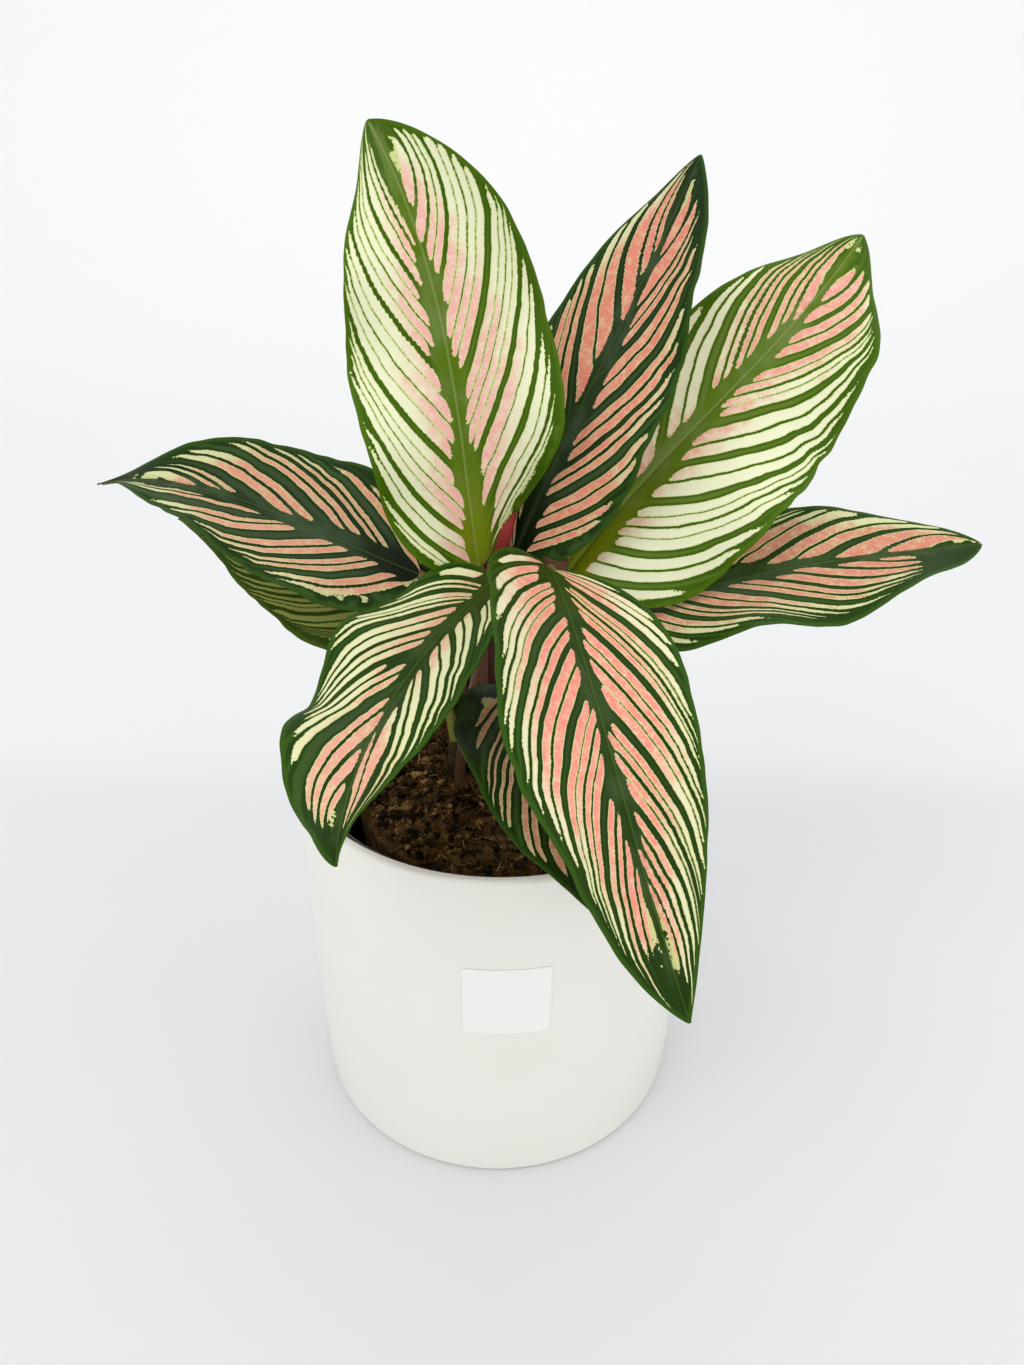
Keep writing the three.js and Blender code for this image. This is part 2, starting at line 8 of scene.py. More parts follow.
import logging
import math
import random
from collections.abc import Callable, Sequence
from dataclasses import dataclass
from enum import Enum

import bpy
import numpy as np
from mathutils import Matrix, Vector, noise


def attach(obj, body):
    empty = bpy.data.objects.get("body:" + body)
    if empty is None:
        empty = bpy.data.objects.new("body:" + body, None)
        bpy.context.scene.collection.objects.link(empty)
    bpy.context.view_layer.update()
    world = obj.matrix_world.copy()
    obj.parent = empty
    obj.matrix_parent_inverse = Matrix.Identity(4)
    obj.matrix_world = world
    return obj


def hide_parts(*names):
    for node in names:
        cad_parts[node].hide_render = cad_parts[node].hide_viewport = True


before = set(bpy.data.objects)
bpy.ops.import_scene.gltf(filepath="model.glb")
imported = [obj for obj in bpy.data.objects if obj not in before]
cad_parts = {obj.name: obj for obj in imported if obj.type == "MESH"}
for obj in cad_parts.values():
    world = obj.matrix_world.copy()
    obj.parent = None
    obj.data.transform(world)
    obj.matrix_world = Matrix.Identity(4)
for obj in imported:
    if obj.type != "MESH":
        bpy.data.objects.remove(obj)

LOG = logging.getLogger("calathea")
MM = 0.001
WELD = 1e-6
IMAGE_HEIGHT = 1365
TABLE_ROWS = 32

Socket = bpy.types.NodeSocket
Material = bpy.types.Material
Array = np.ndarray
Piece = bpy.types.Object
Pair = tuple[float, float]
Point = tuple[float, float, float]
Colour = tuple[float, float, float, float]
Row = tuple[float, float, float, float]


def rgb(red: float, green: float, blue: float) -> Colour:
    """A linear colour from three display values of 0 to 255.

    Args:
        red: The red value.
        green: The green value.
        blue: The blue value.

    Returns:
        The linear colour with full alpha.
    """
    def linear(value: float) -> float:
        """One display value as linear light."""
        share = value / 255.0
        return share / 12.92 if share <= 0.04045 else ((share + 0.055) / 1.055) ** 2.4

    return (linear(red), linear(green), linear(blue), 1.0)


def lone_selection() -> None:
    """Leave object mode's selection empty, before an operator adds something."""
    bpy.ops.object.select_all(action="DESELECT")


def active(piece: Piece) -> None:
    """Make a piece the only one that is selected."""
    lone_selection()
    piece.select_set(True)
    bpy.context.view_layer.objects.active = piece


def named(name: str) -> Piece:
    """The piece that an operator has just added, under its name."""
    piece = bpy.context.active_object
    piece.name = name
    return piece


def grid(name: str, columns: int, rows: int, size: float = 1.0) -> Piece:
    """A flat square grid round the origin."""
    lone_selection()
    bpy.ops.mesh.primitive_grid_add(
        x_subdivisions=columns, y_subdivisions=rows, size=size, location=(0, 0, 0))
    return named(name)


def apply_modifier(piece: Piece, kind: str, **settings: object) -> None:
    """Add a modifier to a piece, set it and apply it.

    Args:
        piece: The piece that takes the modifier.
        kind: The modifier's type.
        **settings: Its settings.
    """
    active(piece)
    bpy.ops.object.modifier_add(type=kind)
    modifier = piece.modifiers[-1]
    for name, value in settings.items():
        setattr(modifier, name, value)
    bpy.ops.object.modifier_apply(modifier=modifier.name)


def open_mesh(piece: Piece) -> None:
    """Start to edit a piece's mesh, with all of it selected."""
    active(piece)
    bpy.ops.object.mode_set(mode="EDIT")
    bpy.ops.mesh.select_all(action="SELECT")


def close_mesh() -> None:
    """Turn the edited mesh's faces outwards, and stop editing it."""
    bpy.ops.mesh.select_all(action="SELECT")
    bpy.ops.mesh.normals_make_consistent(inside=False)
    bpy.ops.object.mode_set(mode="OBJECT")


def weld(piece: Piece, distance: float = WELD) -> None:
    """Merge a piece's vertices that lie within a distance, and turn its faces outwards."""
    open_mesh(piece)
    bpy.ops.mesh.remove_doubles(threshold=distance)
    close_mesh()


def smooth(piece: Piece, degrees: float = 50.0) -> None:
    """Shade a piece smooth, and keep its edges that are sharper than an angle."""
    active(piece)
    bpy.ops.object.shade_smooth_by_angle(angle=math.radians(degrees))


def mark(piece: Piece, name: str, values: Sequence[float]) -> None:
    """Give each vertex of a piece a number, for a finish to read."""
    piece.data.attributes.new(name, "FLOAT", "POINT").data.foreach_set("value", values)


def dress(piece: Piece, *materials: Material) -> None:
    """Give a piece its materials, in the order of its faces' material numbers."""
    piece.data.materials.clear()
    for material in materials:
        piece.data.materials.append(material)


def keep(piece: Piece, slot: str, *nodes: str) -> Piece:
    """Tie a finished piece to the plant's body.

    Args:
        piece: The finished piece.
        slot: Not used.
        *nodes: The solids that it stands for.

    Returns:
        The same piece.
    """
    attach(piece, "root")
    if nodes:
        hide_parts(*nodes)
    return piece


def arithmetic(operation: str) -> Callable[..., "Value"]:
    """A method that adds one arithmetic step to a value's material."""
    return lambda first, *others: first.board.math(operation, first, *others)


@dataclass(frozen=True)
class Value:
    """What a material works out at each point. Arithmetic with it adds nodes."""

    board: "Board"
    socket: Socket

    __add__ = arithmetic("ADD")
    __sub__ = arithmetic("SUBTRACT")
    __mul__ = arithmetic("MULTIPLY")
    __truediv__ = arithmetic("DIVIDE")
    __pow__ = arithmetic("POWER")
    __abs__ = arithmetic("ABSOLUTE")
    above = arithmetic("GREATER_THAN")
    at_least = arithmetic("MAXIMUM")
    at_most = arithmetic("MINIMUM")
    whole = arithmetic("FLOOR")
    nearest = arithmetic("ROUND")
    root = arithmetic("SQRT")
    cosine = arithmetic("COSINE")

    def __rsub__(self, other: float) -> "Value":
        """What is left of a number when this is taken from it."""
        return self.board.math("SUBTRACT", other, self)

    def ease(self, low: "Input", high: "Input") -> "Value":
        """0 below low, 1 above high, and smooth between them."""
        inputs = {"Value": self, "From Min": low, "From Max": high}
        return self.board.value("MapRange", inputs, interpolation_type="SMOOTHSTEP")


Input = Value | float | tuple


class Board:
    """A material's nodes, with short calls for the kinds that the finishes use."""

    def __init__(self, name: str) -> None:
        """Start a material of that name, with its shader and the place on the object."""
        self.material = bpy.data.materials.new(name)
        self.material.use_nodes = True
        self.tree = self.material.node_tree
        self.shader = self.tree.nodes["Principled BSDF"]
        self.place = self.value("TexCoord", {}, "Object")

    def feed(self, node: bpy.types.Node, inputs: dict[str | int, Input]) -> None:
        """Link or set some sockets of a node, by name or number."""
        for key, value in inputs.items():
            if isinstance(value, Value):
                self.tree.links.new(value.socket, node.inputs[key])
            else:
                node.inputs[key].default_value = value

    def node(self, kind: str, inputs: dict[str | int, Input], **settings: object) -> bpy.types.Node:
        """Add a node of a kind, and set it.

        Args:
            kind: The node's type, without the words that all types start with.
            inputs: What goes into its sockets.
            **settings: Its settings.

        Returns:
            The node.
        """
        node = self.tree.nodes.new(f"ShaderNode{kind}")
        for name, value in settings.items():
            setattr(node, name, value)
        self.feed(node, inputs)
        return node

    def value(
        self, kind: str, inputs: dict[str | int, Input], output: str | int = 0, **settings: object,
    ) -> Value:
        """Add a node of a kind, and take one of its outputs."""
        return Value(self, self.node(kind, inputs, **settings).outputs[output])

    def parts(self, whole: Value) -> tuple[Value, ...]:
        """The three parts of a place or a colour."""
        return tuple(Value(self, part) for part in self.node("SeparateXYZ", {0: whole}).outputs)

    def math(self, operation: str, *values: Input) -> Value:
        """One arithmetic step."""
        return self.value("Math", dict(enumerate(values)), operation=operation)

    def mix(self, share: Input, first: Input, second: Input, blend: str = "MIX") -> Value:
        """A colour between two others, or a blend of both."""
        inputs = {0: share, 6: first, 7: second}
        return self.value("Mix", inputs, 2, data_type="RGBA", blend_type=blend)

    def layers(self, colour: Input, *layers: tuple[Input, Input]) -> Value:
        """A colour with others laid over it, each with its share."""
        for share, shade in layers:
            colour = self.mix(share, colour, shade)
        return colour

    def between(self, share: Input, first: Input, second: Input) -> Value:
        """A number between two others."""
        return self.value("Mix", {0: share, 2: first, 3: second}, data_type="FLOAT")

    def noise(
        self, scale: float, detail: float = 2.0, rough: float = 0.5, stretch: Point | None = None,
    ) -> Value:
        """Cloudy noise of 0 to 1.

        Args:
            scale: How many clouds there are in a metre.
            detail: How many finer layers it has.
            rough: How strong the finer layers are.
            stretch: What each axis is multiplied by first.

        Returns:
            The noise's value.
        """
        place = self.place
        if stretch:
            place = self.value("Mapping", {"Vector": place, "Scale": stretch})
        inputs = {"Vector": place, "Scale": scale, "Detail": detail, "Roughness": rough}
        return self.value("TexNoise", inputs, "Fac")

    def map(self, name: str) -> tuple[Value, Value]:
        """The two coordinates of the piece's own map of that name."""
        return self.parts(self.value("UVMap", {}, uv_map=name))[:2]

    def trait(self, name: str) -> Value:
        """A number that the piece's vertices carry under that name."""
        return self.value("Attribute", {}, "Fac", attribute_name=name)

    def table(self, place: Input, rows: list[Row]) -> tuple[Value, Value]:
        """Read a row of a short table.

        Args:
            place: The row's middle, as a share of the table's full length.
            rows: Up to TABLE_ROWS rows of four numbers from 0 to 1.

        Returns:
            The row's first three numbers as a colour, and the fourth.
        """
        node = self.node("ValToRGB", {0: place})
        ramp = node.color_ramp
        ramp.interpolation = "CONSTANT"
        ramp.elements.remove(ramp.elements[1])
        ramp.elements[0].position = 0.0
        ramp.elements[0].color = rows[0]
        for index, row in enumerate(rows[1:], start=1):
            ramp.elements.new(index / TABLE_ROWS).color = row
        return Value(self, node.outputs["Color"]), Value(self, node.outputs["Alpha"])

    def bump(self, height: Input, strength: float, distance: float) -> None:
        """Raise the shader's surface by a height."""
        inputs = {"Strength": strength, "Distance": distance, "Height": height}
        self.feed(self.shader, {"Normal": self.value("Bump", inputs, "Normal")})

    def finish(self, colour: Input, roughness: Input, **levels: float) -> Material:
        """Set the shader's colour, roughness and other levels.

        Args:
            colour: The base colour.
            roughness: The roughness.
            **levels: Other sockets by name, with underscores for spaces.

        Returns:
            The finished material.
        """
        self.feed(self.shader, {"Base Color": colour, "Roughness": roughness})
        self.feed(self.shader, {name.replace("_", " "): level for name, level in levels.items()})
        return self.material


@dataclass(frozen=True)
class Band:
    """A bundle of stripes that run side by side from the midrib to the margin.

    low and high are its edges halfway out, in percent of the blade's length. near and far are
    where its stripes start and end, in percent of the way from the midrib to the margin.
    """

    low: float
    high: float
    stripes: int
    near: float
    far: float


@dataclass(frozen=True)
class Half:
    """One half of a blade's pattern.

    advance says how far a vein runs towards the tip on its way to the margin, at five places
    along the blade, and bend how much of that comes close to the margin, at three places.
    pink_base and pink_tip say how far out the stripes are pink, at the blade's base and tip.
    """

    bands: tuple[Band, ...]
    advance: tuple[float, float, float, float, float]
    bend: Point
    pink_base: float
    pink_tip: float

    STATIONS = (0.0, 0.25, 0.5, 0.75, 1.0)
    BEND_STATIONS = (0.0, 0.5, 1.0)
    BEND_POWER = 4
    CHART = np.linspace(-0.7, 1.7, 1201)
    LEAST_STRETCH = 0.35
    LEAST_WIDTH = 3.0
    QUARTERS = 0.04
    LAST_GAP = 25.0
    NO_STRIPE = (1.0, 0.0, 0.5)
    NO_LINE = (0.0, 0.0, 0.0, 1.0)
    NEAR_SHIFT = -6.0
    NEAR_BOW = 5.0
    NEAR_SPREAD = (-1.5, 2.0)
    FAR_SPREAD = (-3.0, 1.5)
    BLUSH = (0.15, 0.85)
    FINE_LINE = (0.15, 0.24)
    COARSE_LINE = (0.36, 0.52)
    FINE_STRENGTH = (0.7, 1.0)
    FINE_STARTS = (0.0, 0.0, 0.0, 0.2)

    def edges(self) -> list[float]:
        """The places of all lane edges, in percent of the blade's length."""
        places = []
        for band in self.bands:
            step = (band.high - band.low) / band.stripes
            places += [band.low + step * k for k in range(band.stripes + 1)]
        return places

    def run(self, middle: Array, share: Array | float) -> Array:
        """How far ahead of its place halfway out a vein is, at a share of its way out."""
        advance = np.interp(middle, self.STATIONS, self.advance)
        bend = np.interp(middle, self.BEND_STATIONS, self.bend)

        def reach(at: Array | float) -> Array:
            """How much of the advance is done."""
            return (1.0 - bend) * at + bend * at ** self.BEND_POWER

        return advance * (reach(share) - reach(0.5))

    def middle(self, u: Array, share: Array) -> Array:
        """Where the veins through points of the half are, halfway out.

        Args:
            u: Places along the midrib, from 0 to 1.
            share: Places from the midrib, 0, to the margin, 1.

        Returns:
            Their places along the blade, from 0 to 1.
        """
        places = np.zeros(u.shape)
        for row in np.unique(share):
            here = share == row
            along = self.CHART + self.run(self.CHART, row)
            along = np.maximum.accumulate(along + np.arange(len(along)) * 1e-9)
            places[here] = np.interp(u[here], along, self.CHART)
        return places

    def lane(self, middle: Array) -> Array:
        """The lane numbers, whole at the lanes' edges, of veins at places halfway out."""
        edges = np.array(self.edges()) / 100.0
        edges = np.concatenate([[edges[0] - 1.0], edges, [edges[-1] + 1.0]])
        return np.interp(middle, edges, np.arange(len(edges), dtype=float))

    def gauge(self, middle: Array, share: Array, length: float, widths: Array) -> Array:
        """How far apart two veins run whose places differ by the blade's whole length.

        Args:
            middle: The places of the veins halfway out.
            share: How far out each point is.
            length: The blade's length, in millimetres.
            widths: The half's width at each point, in millimetres.

        Returns:
            The distances square to the veins, in millimetres.
        """
        step, side = 0.08, 0.02
        ahead, behind = self.run(middle + step, share), self.run(middle - step, share)
        stretch = np.maximum(1.0 + (ahead - behind) / (2.0 * step), self.LEAST_STRETCH)
        turn = (self.run(middle, share + side) - self.run(middle, share - side)) / (2.0 * side)
        return stretch / np.hypot(1.0 / length, turn / np.maximum(widths, self.LEAST_WIDTH))

    def lane_rows(self, draw: random.Random) -> list[Row]:
        """Start, end, pinkness and width of each lane, the width in quarters of the blade.

        Args:
            draw: The source of the small differences between stripes.

        Returns:
            A row for each lane, with a start beyond its end where there is no stripe.
        """
        rows = [(*self.NO_STRIPE, 1.0)]
        lows = [band.low for band in self.bands[1:]] + [self.bands[-1].high + self.LAST_GAP]
        for band, following in zip(self.bands, lows):
            width = (band.high - band.low) / band.stripes * self.QUARTERS
            for k in range(band.stripes):
                off = abs(2.0 * k - (band.stripes - 1)) / max(band.stripes - 1, 1)
                near = band.near + self.NEAR_SHIFT + self.NEAR_BOW * off * off
                near = max(near + draw.uniform(*self.NEAR_SPREAD), 0.0) / 100.0
                far = (band.far + draw.uniform(*self.FAR_SPREAD)) / 100.0
                rows.append((near, far, draw.uniform(*self.BLUSH), width))
            rows.append((*self.NO_STRIPE, (following - band.high) * self.QUARTERS))
        return rows

    def line_rows(self, draw: random.Random) -> list[Row]:
        """Half width in millimetres, strength and start of the green line on each lane edge.

        Args:
            draw: The source of the small differences between lines.

        Returns:
            A row for each lane edge.
        """
        rows = [self.NO_LINE]
        for band in self.bands:
            rows.append(self.NO_LINE)
            for k in range(1, band.stripes):
                if band.stripes > 2 and k % 2 == 1:
                    width = draw.uniform(*self.FINE_LINE)
                    start = draw.choice(self.FINE_STARTS)
                    rows.append((width, draw.uniform(*self.FINE_STRENGTH), start, 1.0))
                else:
                    rows.append((draw.uniform(*self.COARSE_LINE), 1.0, 0.0, 1.0))
            rows.append(self.NO_LINE)
        return rows


@dataclass(frozen=True)
class Palette:
    """The greens of a blade's upper face, its painted sheen, and the line round its stripes."""

    ground: Colour
    deep: Colour
    painted_sheen: Colour
    margin: Colour
    # The colour at the blade's foot: its own olive tint on most tones, painted shade on the
    # darkest.
    base: Colour
    rib: Colour
    outline: Colour


class Tone(Enum):
    """The kinds of upper face, from the brightest leaf to the most shaded."""

    # Light greens, raised further to paint the light shining through these top leaves.
    BRIGHT_LIT_THROUGH = Palette(
        ground=rgb(88, 116, 12), deep=rgb(58, 92, 0), painted_sheen=rgb(110, 132, 66),
        margin=rgb(74, 108, 4), base=rgb(118, 134, 8), rib=rgb(150, 168, 92),
        outline=rgb(206, 222, 140))
    DARK = Palette(
        ground=rgb(38, 64, 14), deep=rgb(26, 54, 2), painted_sheen=rgb(66, 86, 46),
        margin=rgb(50, 86, 10), base=rgb(50, 70, 6), rib=rgb(80, 108, 34),
        outline=rgb(206, 216, 142))
    # Dark greens, darkened further by painted shade on the leaves low in the plant and behind it.
    DARK_SHADED = Palette(
        ground=rgb(32, 54, 16), deep=rgb(20, 42, 4), painted_sheen=rgb(68, 86, 58),
        # Its base, near black, is painted shade at the blades' foot among the stalks.
        margin=rgb(44, 78, 14), base=rgb(12, 24, 4), rib=rgb(68, 92, 40),
        outline=rgb(196, 204, 140))
    SHADED = Palette(
        ground=rgb(66, 88, 20), deep=rgb(46, 70, 8), painted_sheen=rgb(92, 108, 48),
        margin=rgb(74, 98, 20), base=rgb(68, 78, 8), rib=rgb(104, 118, 50),
        outline=rgb(150, 162, 84))


@dataclass(frozen=True)
class Leaf:
    """One open leaf: its blade's shape, its stalk and its pattern, in millimetres and degrees.

    The pairs from half_width on are for the left and the right half, seen from above with the
    tip ahead. A wave is its height, count and phase. A shoulder widens the blade at its base, a
    drawn tip is slimmer than the rest, and a ruffle is the height of small teeth on the margin.
    """

    name: str
    foot: Pair
    base: Point
    length: float
    rise: Pair
    arch: float
    heading: Pair
    roll: Pair
    half_width: Pair
    lift: Pair
    curl: Pair
    outline: tuple[Pair, Pair]
    wave: tuple[Point, Point]
    left: Half
    right: Half
    pink: Colour
    cream: Colour
    tone: Tone = Tone.DARK
    reach: float = 9.0
    line_width: float = 1.0
    shoulder: Pair = (0.0, 0.0)
    drawn_tip: Pair = (0.0, 0.0)
    ruffle: Pair = (0.15, 0.15)

    STEPS = 72
    LEAST_HALF_WIDTHS = (1.3, 0.4)
    TIP_START = 0.78
    TIP_SHARE = 0.17

    def direction(self, u: Array) -> Array:
        """Direction of the midrib at places along it."""
        rise = np.radians(np.interp(u, (0, 1), self.rise) + self.arch * 4.0 * u * (1.0 - u))
        heading = np.radians(np.interp(u, (0, 1), self.heading))
        level = np.cos(rise)
        return np.stack([level * np.cos(heading), level * np.sin(heading), np.sin(rise)], -1)

    def axes(self, u: Array) -> tuple[Array, Array]:
        """The blade's own up and right at places along the midrib."""
        ahead = self.direction(u)
        level = np.stack([ahead[..., 1], -ahead[..., 0], np.zeros(u.shape)], -1)
        level /= np.linalg.norm(level, axis=-1, keepdims=True)
        up = np.cross(level, ahead)
        roll = np.radians(np.interp(u, (0, 1), self.roll))[..., None]
        up = up * np.cos(roll) + np.cross(ahead, up) * np.sin(roll)
        return up, np.cross(ahead, up)

    def midrib(self, u: Array) -> Array:
        """Points on the midrib at places along it."""
        steps = (np.arange(self.STEPS) + 0.5) / self.STEPS
        walk = np.cumsum(self.direction(steps), 0) * self.length / self.STEPS
        points = np.array(self.base) + np.concatenate([np.zeros((1, 3)), walk])
        places = np.linspace(0.0, 1.0, self.STEPS + 1)
        return np.stack([np.interp(u, places, points[:, axis]) for axis in range(3)], -1)

    def width(self, side: int, u: Array) -> Array:
        """Half width of one side at places along the midrib."""
        blunt, pointed = self.outline[side]

        def shape(at: Array | float) -> Array | float:
            """The outline's height, before it is scaled."""
            return at ** blunt * (1.0 - at) ** pointed

        share = shape(u) / shape(blunt / (blunt + pointed))
        share = share + self.shoulder[side] * u ** 0.25 * (1.0 - u) ** 8
        slim = np.clip((u - self.TIP_START) / self.TIP_SHARE, 0.0, 1.0)
        share = share * (1.0 - self.drawn_tip[side] * slim * slim * (3.0 - 2.0 * slim))
        least = np.interp(u, (0, 1), self.LEAST_HALF_WIDTHS)
        teeth = np.sin(41.0 * u + 2.0 * side) + 0.7 * np.sin(67.0 * u + 1.0)
        teeth = self.ruffle[side] * (teeth + 0.5 * np.sin(103.0 * u)) * np.sin(np.pi * u)
        return np.hypot(self.half_width[side] * share, least) + teeth

    def surface(self, u: Array, v: Array) -> Array:
        """Points of the blade's middle surface.

        Args:
            u: Places along the midrib, from 0 to 1.
            v: Places across, from -1 at the left margin to 1 at the right one.

        Returns:
            The points, in millimetres.
        """
        centre = self.midrib(u)
        up, right = self.axes(u)
        share = np.abs(v)
        points = np.zeros(centre.shape)
        for side, sign in ((0, -1.0), (1, 1.0)):
            lift = math.radians(self.lift[side])
            curl = math.radians(self.curl[side])
            angle = lift - curl * share
            out = (math.sin(lift) - np.sin(angle)) / curl
            rise = (np.cos(angle) - math.cos(lift)) / curl
            height, count, phase = self.wave[side]
            swell = np.sqrt(np.maximum(0.0, np.sin(np.pi * u)))
            wave = height * np.sin(math.tau * (count * u + phase)) * swell * share ** 2
            width = self.width(side, u)
            place = centre + right * (sign * width * out)[..., None]
            place = place + up * (width * rise + wave)[..., None]
            here = v < 0.0 if side == 0 else v >= 0.0
            points[here] = place[here]
        return points


def half(
    bands: str, pink: Pair, advance: tuple[float, float, float, float, float], bend: Point,
) -> Half:
    """One half's pattern from short notes.

    Args:
        bands: A low, high, count, near and far for each band, with semicolons between bands.
        pink: How far out the stripes are pink, at the blade's base and tip.
        advance: How far the veins run ahead on their way out.
        bend: How much of that comes close to the margin.

    Returns:
        The half's pattern.
    """
    rows = [tuple(float(word) for word in note.split()) for note in bands.split(";")]
    made = tuple(Band(low, high, int(count), *ends) for low, high, count, *ends in rows)
    return Half(made, advance, bend, *pink)


